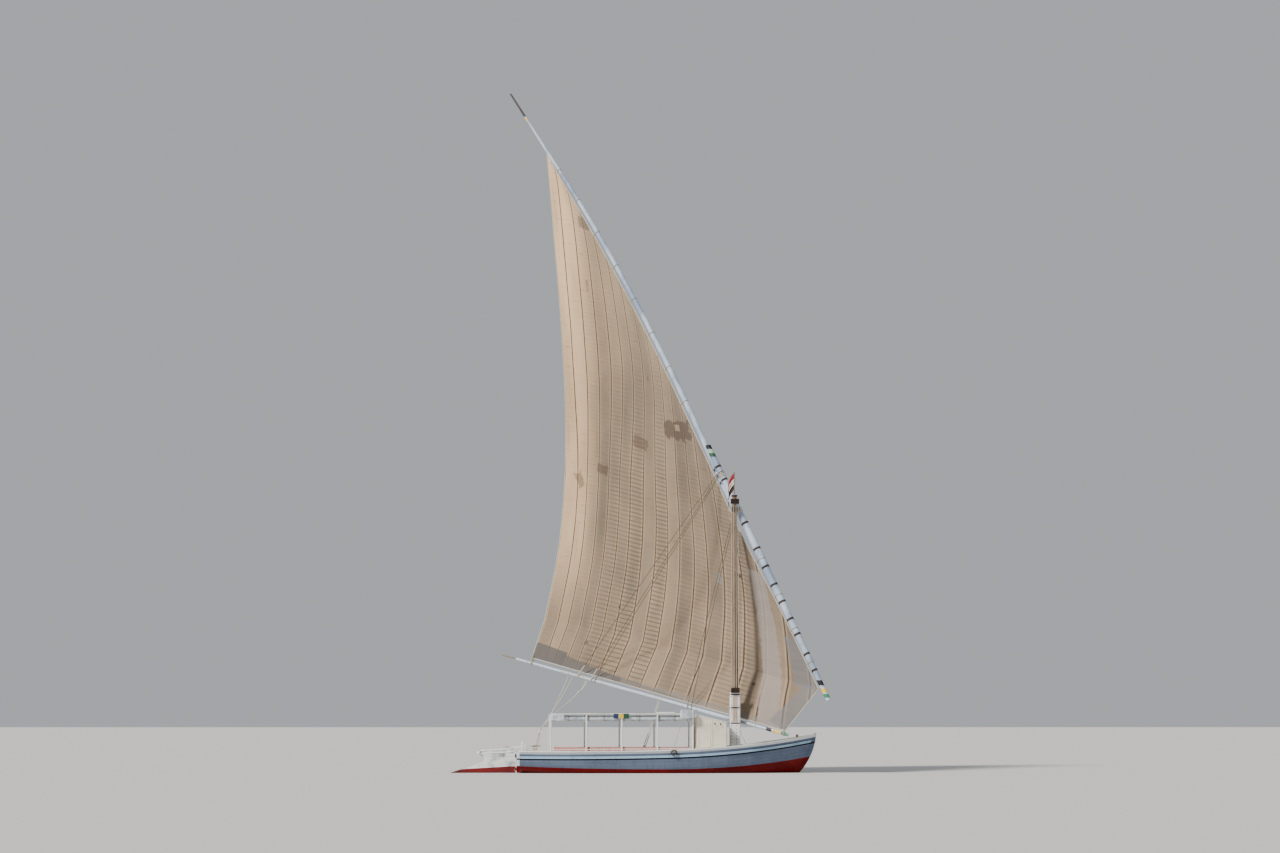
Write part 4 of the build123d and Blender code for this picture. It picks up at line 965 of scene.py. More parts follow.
cheek_paint = white_work("cheek_paint", WHITE, WHITE_WORN, (1, 1, 0.15), 0.4, 0.5)
bare_face = (cheek_paint.z > BARE_FACE[0]) * (cheek_paint.z < BARE_FACE[1])
bare_face = bare_face * (abs(cheek_paint.x - MAST_X) < BARE_FACE[2])
bare_grain = cheek_paint.ramp(cheek_paint.noise(40.0, (1, 1, 0.05), 8), 0.35, 0.7)
bare_tone = cheek_paint.mix(bare_grain, paint_value(196, 178, 156), paint_value(140, 120, 100))
cheek_paint.set("Base Color", cheek_paint.mix(bare_face * 0.9, cheek_paint.coat, bare_tone))
cheek_paint.on(cad["mast_cheeks"], cad["mast_braces"])

cheek_bolts = []
for side in (-1, 1):
    places = [(MAST_X + dx, side * CHEEK_Y, z) for dx, row in BOLT_ROWS for z in row]
    places += [(MAST_X + dx, side * CHEEK_Y, z) for dx in (-0.14, 0.14) for z in (1.98, 2.40, 2.58, 2.92)]
    cheek_bolts.append(bolt_heads("bolts", places, (0, side, 0), 0.017, 0.012))
mast_bolts = joined("mast_bolts", cheek_bolts)
ironwork.on(mast_bolts)
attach(mast_bolts, "hull")

# Strap faces: flat iron bands across the cheeks' sides, tarred, that join the CAD straps at their edges and are
# bolted above and below.
bands = []
for z in STRAP_Z:
    for side in (-1, 1):
        x0, x1 = MAST_X - 0.172, MAST_X + 0.172
        y = side * (CHEEK_Y + 0.0003)
        corners = [(x0, y, z - 0.023), (x1, y, z - 0.023), (x1, y, z + 0.023), (x0, y, z + 0.023)]
        bands.append(casing("band", corners, 0.0228, 0.009, (0, side, 0)))
strap_faces = joined("strap_faces", bands)
ironwork.on(strap_faces)
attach(strap_faces, "hull")

# Halyard tackle: four parts of laid rope between an upper and a lower block, each block with its sheaves' rims
# showing at the sides.
FALL_X = [-0.125, -0.040, 0.045, 0.125]
FALL_Y = -0.235
FALL_Z = (3.250, 10.350)
FALL_R = 0.012

falls = []
for number, dx in enumerate(FALL_X):
    z = np.linspace(*FALL_Z, 420)
    line = np.stack([np.full_like(z, MAST_X + dx), np.full_like(z, FALL_Y), z], -1)
    falls.append(laid_rope(f"fall_{number}", line, FALL_R, lay=9.0))
halyard = joined("halyard", falls)
fall_rope = rope_finish("fall_rope", paint_value(212, 204, 190), paint_value(142, 130, 114), 40.0)
fall_rope.on(halyard)
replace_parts(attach(halyard, "hull"), "halyard_falls")

BLOCK_Z = (10.445, 3.155)
SHEAVE_X = (-0.085, 0.085)
SHEAVE_R = 0.052

sheaves = []
for z in BLOCK_Z:
    for dx in SHEAVE_X:
        turn = full_turn(24)
        rim = [MAST_X + dx + SHEAVE_R * np.cos(turn), np.full_like(turn, FALL_Y), z + SHEAVE_R * np.sin(turn)]
        rim = np.stack(rim, -1)
        cheek = [-0.056, 0.056, 0.056, -0.056], [-0.012, -0.012, 0.012, 0.012]
        sheaves.append(swept("sheave", rim, *cheek, across=(0, 1, 0), loop=True))
    pins = [(MAST_X + dx, FALL_Y - 0.0455, z) for dx in SHEAVE_X]
    sheaves.append(bolt_heads("pins", pins, (0, -1, 0), 0.018, 0.014))
block_sheaves = joined("block_sheaves", sheaves)
ironwork.on(block_sheaves)
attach(block_sheaves, "hull")

# Fender: an old rubber ring of black tyre, hung over the gunwale by a becket of rope. Dust and dried spray have
# faded it in patches.
fender_rubber = Finish("fender_rubber", roughness=0.75)
rubber_dust = fender_rubber.noise(18.0, detail=5)
fender_tone = fender_rubber.mix(
    fender_rubber.ramp(rubber_dust, 0.45, 0.7), paint_value(30, 30, 31), paint_value(88, 84, 78)
)
fender_rubber.set("Base Color", fender_tone)
fender_rubber.relief(rubber_dust, 0.002, 0.8)
fender_rubber.on(cad["fender"])

# Yard: two grown poles fished side by side, scraped and painted white, with clouds of blue-grey painted shade,
# the white paint's shaded side, laid over it. The lower one has plain bands of dark blue, yellow and green at its
# heel and its upper end, and the tip of the upper one is dark.
YAW = math.radians(-35)
RIG_OFF = 0.350
UPPER_SHIFT = 0.145
LOWER_SPAR = np.array([(3.944, 2.757, 0.092), (1.700, 6.932, 0.140), (0.100, 9.909, 0.132), (-1.410, 12.719, 0.104)])
UPPER_SPAR = np.array(
    [
        (-0.143, 9.950, 0.088),
        (-1.244, 12.000, 0.100),
        (-2.120, 13.760, 0.102),
        (-4.360, 17.790, 0.096),
        (-6.935, 21.935, 0.082),
        (-9.020, 24.915, 0.062),
        (-10.910, 27.560, 0.034),
    ]
)
SPAR_WHITE = paint_value(190, 204, 224)
# Blue-grey of the white paint's shaded side, laid on the yard's poles in clouds as painted shade.
SPAR_SHADE_GREY = paint_value(138, 156, 184)
YELLOW = paint_value(232, 196, 70)
GREEN = paint_value(58, 132, 92)
PALE_GREEN = paint_value(150, 196, 150)
DARK_GREEN = paint_value(24, 78, 56)
TIP_DARK = paint_value(46, 40, 36)
LOWER_BANDS = [(2.86, 3.01, GREEN), (3.05, 3.22, YELLOW), (3.33, 3.53, NAVY), (12.25, 12.40, DARK_GREEN)]
LOWER_BANDS += [(12.41, 12.54, PALE_GREEN), (12.56, 12.74, NAVY)]
UPPER_BANDS = [(26.55, 28.0, TIP_DARK), (26.36, 26.50, YELLOW)]


def in_rig(points):
    """Points in the rig's plane (s along the boom, across to port, z up), turned about the mast by the yaw."""
    s, across, z = np.moveaxis(np.asarray(points, float), -1, 0)
    return np.stack(
        [MAST_X + s * math.cos(YAW) - across * math.sin(YAW), s * math.sin(YAW) + across * math.cos(YAW), z], -1
    )


def rig_turned(direction):
    s, across, z = direction
    return (s * math.cos(YAW) - across * math.sin(YAW), s * math.sin(YAW) + across * math.cos(YAW), z)


def spar_paint(name, bands, along, low, high):
    """Painted pole: white with clouds of a second tone, which on the yard is blue-grey painted shade, worn along
    its length, with bands where along lies in each range.
    """
    finish = Finish(name, roughness=0.45)
    grain = finish.noise(30.0, (1, 1, 0.08), 7)
    cloud = finish.noise(1.4, (1, 1, 0.5), 6)
    crack = finish.ramp(finish.noise(14.0, (1, 1, 0.07), 6), 0.60, 0.65)
    tone = finish.mix(finish.ramp(cloud, 0.38, 0.68), low, high)
    tone = finish.mix(finish.ramp(grain, 0.48, 0.75) * 0.2, tone, WHITE_WORN)
    distance = along(finish)
    for low_edge, high_edge, colour in bands:
        tone = finish.mix((distance > low_edge) * (distance < high_edge), tone, colour)
    tone = finish.mix(crack * 0.5, tone, BARE_WOOD)
    finish.set("Base Color", tone)
    finish.set("Roughness", 0.38 + finish.ramp(cloud, 0.3, 0.8) * 0.3)
    finish.relief(grain * 0.5 - crack, 0.003, 0.8)
    return finish


spar_paint("lower_spar_paint", LOWER_BANDS, lambda f: f.z, SPAR_WHITE, SPAR_SHADE_GREY).on(cad["lower_spar"])
spar_paint("upper_spar_paint", UPPER_BANDS, lambda f: f.z, SPAR_WHITE, SPAR_SHADE_GREY).on(cad["upper_spar"])

# Boom: a round pole in white and grey paint, banded at its fore end. The sail's two lower corners are lashed
# to it.
BOOM_FORE = np.array([2.151, RIG_OFF, 1.452])
BOOM_AFT = np.array([-10.440, RIG_OFF, 4.474])
BOOM_R = (0.062, 0.075, 0.050)
BOOM_BANDS = [(1.86, 2.14, GREEN), (1.51, 1.80, YELLOW), (1.21, 1.45, NAVY)]


def along_boom(finish):
    """Distance forward of the mast along the boom: the offset from the mast turned back by the yaw."""
    return (finish.x - MAST_X) * math.cos(YAW) + finish.y * math.sin(YAW)


spar_paint("boom_paint", BOOM_BANDS, along_boom, SPAR_WHITE, paint_value(186, 190, 194)).on(cad["boom"])


def boom_at(s):
    """Point on the boom's axis at s, and its radius there."""
    t = (np.asarray(s, float) - BOOM_FORE[0]) / (BOOM_AFT[0] - BOOM_FORE[0])
    point = BOOM_FORE + (BOOM_AFT - BOOM_FORE) * t[..., None]
    return point, np.interp(t, [0, 0.5, 1], BOOM_R)


# Yard lashings: turns of tarred rope, drawn tight round both poles where they lie side by side, and round the
# lower pole alone below that.
LASH_Z = [11.85, 11.60, 11.33, 9.60, 8.60, 7.89, 7.19, 6.53, 5.86, 5.28, 4.52, 3.90]
LASH_TURNS = 5
LASH_ROPE = 0.0085

tarred_rope = rope_finish("tarred_rope", paint_value(92, 78, 62), paint_value(36, 30, 26))


def faired(rows, steps):
    """Rows with steps in between each two, on a cubic through their neighbours."""
    rows = np.asarray(rows, float)
    padded = np.concatenate([rows[:1], rows, rows[-1:]])
    t = np.linspace(0, 1, steps, endpoint=False)[None, :, None]
    a, b, c, d = (padded[i : len(padded) - 3 + i, None] for i in range(4))
    curve = 0.5 * (2 * b + (c - a) * t + (2 * a - 5 * b + 4 * c - d) * t**2 + (3 * b - a - 3 * c + d) * t**3)
    return np.concatenate([curve.reshape(-1, rows.shape[1]), rows[-1:]])


LOWER_ROWS = faired(LOWER_SPAR, 2)
UPPER_ROWS = faired(UPPER_SPAR, 2)


def spar_at(rows, z):
    """Axis point's s, the radius and the direction in the rig's plane, read off the rows at height z."""
    s = np.interp(z, rows[:, 1], rows[:, 0])
    radius = np.interp(z, rows[:, 1], rows[:, 2])
    ahead = np.interp(z + 0.05, rows[:, 1], rows[:, 0]), z + 0.05
    along = np.array([ahead[0] - s, 0.0, 0.05])
    return s, radius, along / np.linalg.norm(along)


def wound(name, first, second, along, radii, turns, rope, lay=9.0):
    """Turns of rope side by side round one pole, or round two with axes at first and second: the path is a circle
    whose middle and radius swing from one axis to the other, and it climbs along the poles a rope's width a turn."""
    gap = np.asarray(second, float) - first
    apart = np.linalg.norm(gap)
    across = gap / apart if apart > 1e-6 else np.array([0.0, 1.0, 0.0])
    square = np.cross(along, across)
    turn = np.linspace(0, 2 * np.pi * turns, turns * 40 + 1)
    share = 0.5 + 0.5 * np.tanh(np.cos(turn) * 7)
    out = radii[0] + (radii[1] - radii[0]) * share + rope * 0.85
    climb = (turn / (2 * np.pi) - turns / 2) * rope * 2.05
    path = (
        first
        + across * (np.cos(turn) * out + share * apart)[:, None]
        + square * (np.sin(turn) * out)[:, None]
        + along * climb[:, None]
    )
    return laid_rope(name, in_rig(path), rope, lay, across=rig_turned(along))


windings = []
for z in LASH_Z:
    s, radius, along = spar_at(LOWER_ROWS, z)
    first = np.array([s, RIG_OFF, z])
    if z > UPPER_SPAR[0][1]:
        s_up, radius_up, along_up = spar_at(UPPER_ROWS, z)
        level = np.array([s_up, RIG_OFF + UPPER_SHIFT, z])
        second = level - along_up * (((level - first) @ along) / (along_up @ along))
        windings.append(wound("lash", first, second, along, (radius, radius_up), LASH_TURNS, LASH_ROPE))
    else:
        windings.append(wound("lash", first, first, along, (radius, radius), LASH_TURNS, LASH_ROPE))
yard_windings = joined("yard_windings", windings)
tarred_rope.on(yard_windings)
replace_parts(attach(yard_windings, "rig"), "yard_lashings")

# Sail: panels of cotton sewn side by side, parallel to the leech, roped all round and tied along the yard. The
# rows below are the sail in the rig's plane, foot to peak: the fore edge's s, across and z, the leech's s,
# across and z, and how far the row bellies between them. Patches, tablings and stains lie in the finish, as do
# painted shade in the folds and in broad soft patches, and a painted glow of the sun through the cloth.
SAIL_ROWS = np.array(
    [
        (2.030, 0.000, 1.610, -9.720, 0.060, 4.510, 0.040),
        (3.500, 0.000, 3.200, -9.585, 0.800, 6.130, 0.750),
        (1.860, 0.000, 6.200, -9.420, 1.500, 8.900, 0.850),
        (0.060, 0.070, 9.200, -9.350, 1.850, 11.700, 0.800),
        (-1.770, 0.145, 12.600, -9.320, 1.850, 14.600, 0.650),
        (-3.870, 0.145, 16.500, -9.260, 1.450, 17.900, 0.450),
        (-6.250, 0.145, 20.500, -9.200, 0.850, 21.300, 0.250),
        (-8.930, 0.145, 24.600, -9.130, 0.170, 24.950, 0.020),
    ]
)
SAIL_MIDDLE = 0.006  # from the CAD sheet's starboard face to its middle
PANEL = 0.62
SEAM_AT = [0, 0.605, 1.052, 1.586, 2.069, 2.631, 3.198, 3.884, 4.56, 5.225, 5.882, 6.674, 7.462, 8.391]
SEAM_AT += [9.519, 10.7, 11.9, 13.1, 14.3]  # seams' distance from the leech, low on the sail
TOP_FIRST = 0.45  # the same high on it: the first, and the even step after it
TOP_STEP = 0.675
FOOT_AT = (4.51, 2.9 / 12.1)  # height of the foot at the leech, and its fall for each metre forward
CLOTH_THICK = 0.004
ACROSS_STEPS = 180
ROW_STEPS = 36

CLOTH = paint_value(158, 137, 112)
CLOTH_DARK = paint_value(118, 103, 88)
CLOTH_BRIGHT = paint_value(236, 200, 158)
# Brown of the seams, also laid in the sail's creases as painted shade.
SEAM_AND_CREASE_SHADE = paint_value(62, 48, 38)
TABLING = paint_value(128, 122, 118)
PATCH_DARK = paint_value(74, 56, 44)
PATCH_GREY = paint_value(112, 114, 120)
FOOT_GREY = paint_value(88, 84, 82)
FORE_GREY = paint_value(150, 142, 138)


def sail_grid():
    """Points of the sail: rows faired by a cubic, each row a straight line plus belly times four times the share
    and one less the share. Fine creases are added square to the cloth, strongest near the yard."""
    rows = np.concatenate([SAIL_ROWS[:1], faired(SAIL_ROWS[1:], ROW_STEPS)])
    foot = SAIL_ROWS[0] + (SAIL_ROWS[1] - SAIL_ROWS[0]) * np.linspace(0, 1, ROW_STEPS, endpoint=False)[1:, None]
    rows = np.concatenate([rows[:1], foot, rows[1:]])[:, None]
    share = np.linspace(0, 1, ACROSS_STEPS + 1)[None]
    s = rows[..., 0] + (rows[..., 3] - rows[..., 0]) * share
    across = rows[..., 1] + (rows[..., 4] - rows[..., 1]) * share + 4 * rows[..., 6] * share * (1 - share)
    z = rows[..., 2] + (rows[..., 5] - rows[..., 2]) * share
    plain = np.stack([s, across + RIG_OFF + SAIL_MIDDLE, z], -1)
    step = np.linalg.norm(np.diff(plain[:, ::-1], axis=1), axis=2)
    from_leech = np.concatenate([np.zeros((len(plain), 1)), np.cumsum(step, 1)], 1)[:, ::-1]
    inside = np.minimum(np.minimum(share, 1 - share) * 14, 1) * np.minimum(np.arange(len(plain))[:, None] / 6, 1)
    soft = np.sin(from_leech * 2 * np.pi / PANEL) * 0.006
    tug = 0.010 * np.sin(z * 9.0 + 1.5 * s) * np.exp(-share * 6) + 0.006 * np.sin(z * 21 + s * 3) * np.exp(-share * 9)
    slack = 0.020 * np.sin(from_leech * 3.1 + 0.35 * z) * np.sin(0.55 * z + 0.2 * s)
    plain[..., 1] += (soft + tug + slack) * inside
    return plain, from_leech


sail_plain, from_leech = sail_grid()
share_up = np.clip((sail_plain[..., 2] - 11) / 6, 0, 1)
share_up = share_up * share_up * (3 - 2 * share_up)
panel_low = np.interp(from_leech, SEAM_AT, np.arange(len(SEAM_AT)))
panel_top = np.where(from_leech < TOP_FIRST, from_leech / TOP_FIRST, 1 + (from_leech - TOP_FIRST) / TOP_STEP)
panel_across = (panel_low + (panel_top - panel_low) * share_up) * PANEL
above_foot = sail_plain[..., 2] - FOOT_AT[0] + FOOT_AT[1] * from_leech
sail = surface("sail_cloth", in_rig(sail_plain), np.stack([panel_across, above_foot], -1))
sail = thickened(sail, CLOTH_THICK)

# Patches, tablings and marks on the panels: place across them and above the foot, turn in degrees, half width,
# half height, tone, strength, and how ragged the edge is.
PATCHES = [
    (5.00, 0.00, 0, 9.00, 0.22, TABLING, 0.60, 0.05),
    (0.80, 0.18, -3, 0.95, 0.42, FOOT_GREY, 0.90, 0.02),
    (3.10, 0.06, -5, 1.60, 0.26, FOOT_GREY, 0.80, 0.05),
    (5.80, 0.00, -3, 1.50, 0.16, FOOT_GREY, 0.45, 0.08),
    (9.46, 2.20, 4, 0.26, 3.60, FORE_GREY, 0.75, 0.10),
    (10.32, 2.70, 8, 0.34, 0.90, PATCH_GREY, 0.62, 0.03),
    (10.34, 0.95, -24, 0.36, 0.98, PATCH_GREY, 0.62, 0.03),
    (6.40, 10.47, 9, 0.86, 0.36, PATCH_DARK, 0.75, 0.34),
    (6.40, 10.56, 9, 0.15, 0.12, CLOTH, 0.80, 0.02),
    (4.16, 9.52, -8, 0.38, 0.24, PATCH_DARK, 0.50, 0.16),
    (2.08, 8.06, -4, 0.31, 0.19, PATCH_DARK, 0.55, 0.10),
    (0.77, 7.42, 30, 0.20, 0.30, PATCH_DARK, 0.50, 0.20),
    (1.92, 17.92, -5, 0.36, 0.23, PATCH_DARK, 0.55, 0.08),
    (7.87, 5.00, 0, 0.10, 0.20, TABLING, 0.90, 0.02),
    (8.63, 5.35, 0, 0.07, 0.07, PATCH_DARK, 0.95, 0.05),
    (8.52, 5.37, 0, 0.05, 0.04, PATCH_DARK, 0.80, 0.03),
    (3.71, 2.80, 0, 0.05, 0.05, PATCH_DARK, 0.85, 0.04),
    (2.52, 1.10, 20, 0.10, 0.06, PATCH_DARK, 0.60, 0.06),
    (1.60, 15.40, 0, 0.06, 0.22, PATCH_DARK, 0.40, 0.10),
    (4.62, 12.20, 0, 0.05, 0.10, PATCH_DARK, 0.55, 0.06),
    (5.20, 4.10, 10, 0.16, 0.06, PATCH_DARK, 0.35, 0.08),
    (9.05, 1.35, 0, 0.04, 0.05, PATCH_DARK, 0.80, 0.03),
]

cloth = Finish("sail_cloth", roughness=0.88, Sheen_Weight=0.15)
from_edge, height = cloth.uv()
laid_place = cloth.node("CombineXYZ", {}, {0: from_edge, 1: height, 2: 0.0})
wobble = (cloth.noise(1.1, (1.0, 0.5, 1), 2, laid_place) - 0.5) * 0.05
seam_place = abs((from_edge + wobble) % PANEL - PANEL / 2)
panel_number = cloth.sum("FLOOR", (from_edge + wobble) / PANEL)
panel_own = cloth.node("TexWhiteNoise", {"noise_dimensions": "1D"}, {"W": panel_number + 3.0})
panel_creased = cloth.node("TexWhiteNoise", {"noise_dimensions": "1D"}, {"W": panel_number + 11.0})
seam_line = cloth.ramp(seam_place, PANEL / 2 - 0.032, PANEL / 2 - 0.014)
seam_pale = cloth.ramp(seam_place, PANEL / 2 - 0.11, PANEL / 2 - 0.04)
streak = cloth.noise(1.3, (1.0, 0.12, 1), 6, laid_place)
blotch = cloth.noise(0.55, (1, 0.7, 1), 7, laid_place)
creases = cloth.noise(3.2, (0.5, 3.2, 1), 6, laid_place)
weave = cloth.noise(240.0, (1, 1, 1), 2, laid_place)
rungs = cloth.sum("SINE", height * (2 * math.pi / 0.17) + cloth.noise(0.7, (2.0, 0.6, 1), 2, laid_place) * 2.5)
low_down = cloth.ramp(height, 14.0, 6.5) * cloth.ramp(from_edge, 1.8, 3.4) * cloth.ramp(from_edge, 9.1, 8.7)
rungs = cloth.ramp(rungs, 0.45, 0.98) * cloth.ramp(panel_creased, 0.05, 0.70) * (low_down * 0.85 + 0.15)
shade = cloth.ramp(cloth.noise(0.32, (1.6, 0.42, 1), 2, laid_place), 0.42, 0.66)
tone = cloth.mix(panel_own * 0.55 + cloth.ramp(blotch, 0.35, 0.7) * 0.45, CLOTH, CLOTH_DARK)
# Painted light: a glow of the sun through the cloth low down near the leech, and a painted brightening towards the
# peak, both towards CLOTH_BRIGHT.
painted_sun_glow = cloth.ramp(from_edge, 2.2, 0.4) * cloth.ramp(height, 1.0, 6.0)
tone = cloth.mix(painted_sun_glow * 0.75 + cloth.ramp(height, 10.0, 18.0) * 0.35, tone, CLOTH_BRIGHT)
tone = cloth.mix(shade * 0.28, tone, darker(CLOTH_DARK, 0.62))
tone = cloth.mix(cloth.ramp(streak, 0.5, 0.8) * 0.55, tone, darker(CLOTH_DARK, 0.70))
tone = cloth.mix(seam_pale * 0.20, tone, CLOTH_BRIGHT)
tone = cloth.mix(seam_line * 0.95, tone, SEAM_AND_CREASE_SHADE)
# Painted shade in the folds: the rungs of small wrinkles and the soft creases are darkened towards the seam brown.
tone = cloth.mix(rungs * 0.52, tone, SEAM_AND_CREASE_SHADE)
tone = cloth.mix(cloth.ramp(creases, 0.55, 0.8) * 0.3, tone, SEAM_AND_CREASE_SHADE)
ragged = cloth.noise(4.0, (1, 1, 1), 4, laid_place) - 0.5
for across, up, turn, half_wide, half_tall, patch_tone, strength, rough in PATCHES:
    wide, tall = math.cos(math.radians(turn)), math.sin(math.radians(turn))
    right, above = from_edge - across, height - up
    right, above = right * wide + above * tall, above * wide - right * tall
    off = cloth.sum("MAXIMUM", abs(right) - half_wide, abs(above) - half_tall) + ragged * (rough * 2.0)
    tone = cloth.mix(cloth.ramp(off, 0.025, -0.025) * strength, tone, patch_tone)
cloth.set("Base Color", tone)
cloth.relief(seam_line * 0.8 + creases * 1.4 + rungs * 1.2 + weave * 0.04, 0.012, 0.8)
cloth.on(sail)
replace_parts(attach(sail, "rig"), "sail")


def sail_area(points):
    """Sum of the triangles' areas over the grid."""
    a, b, c, d = points[:-1, :-1], points[1:, :-1], points[1:, 1:], points[:-1, 1:]
    return float(
        (np.linalg.norm(np.cross(b - a, c - a), axis=-1) + np.linalg.norm(np.cross(c - a, d - a), axis=-1)).sum() / 2
    )


# Bolt rope: a white hemp rope sewn to the sail's edges as one closed loop. The sail is stretched between the
# yard's two poles and the boom, with this rope round it.
BOLT_ROPE_R = 0.020

edge_path = np.concatenate(
    [sail_plain[:, 0][::3], sail_plain[-1, 1:-1][::8], sail_plain[::-1, -1][::3], sail_plain[0, 1:-1][::-1][::4]]
)
finer = np.concatenate([[0], np.cumsum(np.linalg.norm(np.diff(edge_path, axis=0), axis=1))])
even = np.arange(0, finer[-1], 0.025)
edge_path = np.stack([np.interp(even, finer, edge_path[:, n]) for n in range(3)], -1)
edge_side = rig_turned((0.03, 1.0, 0.02))
bolt_rope = laid_rope("bolt_rope", in_rig(edge_path), BOLT_ROPE_R, lay=10.0, across=edge_side, loop=True)
white_rope = rope_finish("white_rope", paint_value(226, 222, 212), paint_value(164, 156, 142), 40.0)
white_rope.on(bolt_rope)
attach(bolt_rope, "rig")
luff_long = np.linalg.norm(np.diff(sail_plain[:, 0], axis=0), axis=1).sum()
foot_long = np.linalg.norm(np.diff(sail_plain[0], axis=0), axis=1).sum()
round(sail_area(in_rig(sail_plain)), 1)

# Robands: short lengths of hemp that go twice round a pole of the yard and reach to the sail's luff, which they
# hold to it.
ROBAND_Z = [24.2, 22.9, 21.5, 20.1, 18.7, 17.3, 15.9, 14.5, 8.2, 6.8, 5.5, 4.2]
ROBAND_ROPE = 0.010

ties = []
luff_line = sail_plain[:, 0]
for z in ROBAND_Z:
    low = z < UPPER_SPAR[0][1]
    s, radius, along = spar_at(LOWER_ROWS if low else UPPER_ROWS, z)
    middle = np.array([s, RIG_OFF if low else RIG_OFF + UPPER_SHIFT, z])
    luff = np.array([np.interp(z, luff_line[1:, 2], luff_line[1:, n]) for n in range(3)])
    back = np.array([-abs(along[2]), 0.0, -abs(along[0])])
    reach = (luff - middle) @ back
    turn = np.linspace(0, 4 * np.pi, 97)
    out = radius + ROBAND_ROPE * 0.9
    drawn = np.maximum(np.cos(turn), 0) ** 6 * (reach - out)
    path = middle + back * (np.cos(turn) * out + drawn)[:, None]
    path = path + np.outer(np.sin(turn) * out * (1 - 0.85 * np.maximum(np.cos(turn), 0) ** 6), (0.0, 1.0, 0.0))
    path = path + along * ((turn / (4 * np.pi) - 0.5) * ROBAND_ROPE * 2.1)[:, None]
    path = path + np.outer(np.maximum(np.cos(turn), 0) ** 6 * (luff[1] - middle[1]), (0.0, 1.0, 0.0))
    ties.append(laid_rope("tie", in_rig(path), ROBAND_ROPE, across=rig_turned(along)))
robands = joined("robands", ties)
hemp.on(robands)
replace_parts(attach(robands, "rig"), "luff_robands")

# Corner lashings: turns of hemp round the boom, and more that go up from it through the sail's tack and clew
# and hold them down.
CORNERS = [(2.030 - 0.060, 1.610, 0.0), (-9.720 + 0.060, 4.510, 0.060)]

boom_along = (BOOM_FORE - BOOM_AFT) / np.linalg.norm(BOOM_FORE - BOOM_AFT)
turns_at_corners = []
for s, z, far in CORNERS:
    axis, radius = boom_at(s)
    turns_at_corners.append(wound("corner", axis, axis, boom_along, (float(radius), float(radius)), 4, 0.010))
    turn = np.linspace(0, 6 * np.pi, 150)
    high = z + 0.10 - axis[2]
    path = axis + np.stack(
        [
            0.022 * np.sin(turn / 3),
            0.010 + (far * 0.5 + 0.018) * np.cos(turn) + far * 0.5,
            (high - float(radius)) / 2 + float(radius) + (high - float(radius)) / 2 * np.sin(turn),
        ],
        -1,
    )
    turns_at_corners.append(laid_rope("seizing", in_rig(path), 0.008, across=rig_turned((1.0, 0.1, 0.1))))
corner_turns = joined("corner_turns", turns_at_corners)
hemp.on(corner_turns)
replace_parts(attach(corner_turns, "rig"), "corner_lashings")

# Parrel: a greased collar of leather and iron, which goes round the mast and holds the yard to it. It turns
# with the rig.
parrel_leather = Finish("parrel_leather", roughness=0.55)
leather_grain = parrel_leather.noise(55.0, detail=6)
parrel_leather.set(
    "Base Color", parrel_leather.mix(parrel_leather.ramp(leather_grain, 0.4, 0.7), paint_value(58, 44, 34), IRON)
)
parrel_leather.relief(leather_grain, 0.003, 0.8)
parrel_leather.on(cad["parrel"])

# Brails: hemp lines from the yard down the starboard face of the sail to the boom, which gather the sail when it
# is furled. Each is made fast by turns round both poles, and two have a thicker white tail at the boom.
BRAIL_R = 0.014
BRAILS = [  # the yard's height and how far aft of its axis the line leaves, then s along the boom
    (11.58, 0.14, -7.434),
    (11.52, 0.12, -6.805),
    (11.46, 0.12, -6.640),
    (10.15, 0.13, -2.314),
    (10.05, 0.12, -2.145),
]
WHITE_TAILS = (0, 1)
TAIL_LONG = 0.55

brail_hemp = rope_finish("brail_hemp", paint_value(132, 116, 98), paint_value(60, 50, 42), 40.0)
lines, tails, fast_turns = [], [], []
for number, (z, aft, s_boom) in enumerate(BRAILS):
    s_yard, yard_radius, yard_along = spar_at(LOWER_ROWS, z)
    axis, boom_radius = boom_at(s_boom)
    top = np.array([s_yard - aft * 0.8, RIG_OFF - 0.9 * yard_radius - BRAIL_R, z])
    low = axis + np.array([0.0, -float(boom_radius) - BRAIL_R, 0.02])
    share = np.linspace(0, 1, 620)[:, None]
    path = top + (low - top) * share
    path[:, 1] -= (4 * 0.10 * share * (1 - share))[:, 0]
    path[:, 2] -= (4 * 0.06 * share * (1 - share))[:, 0]
    lines.append(laid_rope("brail", in_rig(path), BRAIL_R, lay=16.0, across=rig_turned((0.1, 1.0, 0.0))))
    if number in WHITE_TAILS:
        long = np.linalg.norm(low - top)
        part = path[share[:, 0] > 1 - TAIL_LONG / long]
        tails.append(laid_rope("tail", in_rig(part), BRAIL_R * 1.7, lay=8.0, across=rig_turned((0.1, 1.0, 0.0))))
    yard_axis = np.array([s_yard, RIG_OFF, z])
    radii = (float(yard_radius), float(yard_radius))
    fast_turns.append(wound("turns", yard_axis, yard_axis, yard_along, radii, 3, 0.010))
    radii = (float(boom_radius), float(boom_radius))
    fast_turns.append(wound("turns", axis, axis, boom_along, radii, 3, 0.012))
brails = joined("brails", lines)
brail_hemp.on(brails)
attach(brails, "rig")
brail_tails = joined("brail_tails", tails + fast_turns)
white_rope.on(brail_tails)
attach(brail_tails, "rig")

# Sheets and vang: white lines from the boom to the port quarter. Two lead straight to the after canopy post and
# two by a block, and helm lines go on down to a cleat. Two vang lines hold the boom down to the gunwale amidships.
POST_TURN = (-4.428, 1.352, 2.150)  # where the sheets pass the after port post
SHEET_BLOCK = (-3.24, 3.75, 3.12)
HELM_BLOCK = (-4.86, 1.300, 1.560)
SHEET_CLEAT = (-5.02, 1.290, 0.885)
VANG_FOOT = (-0.80, 1.667, 0.905)
SHEET_R = 0.018


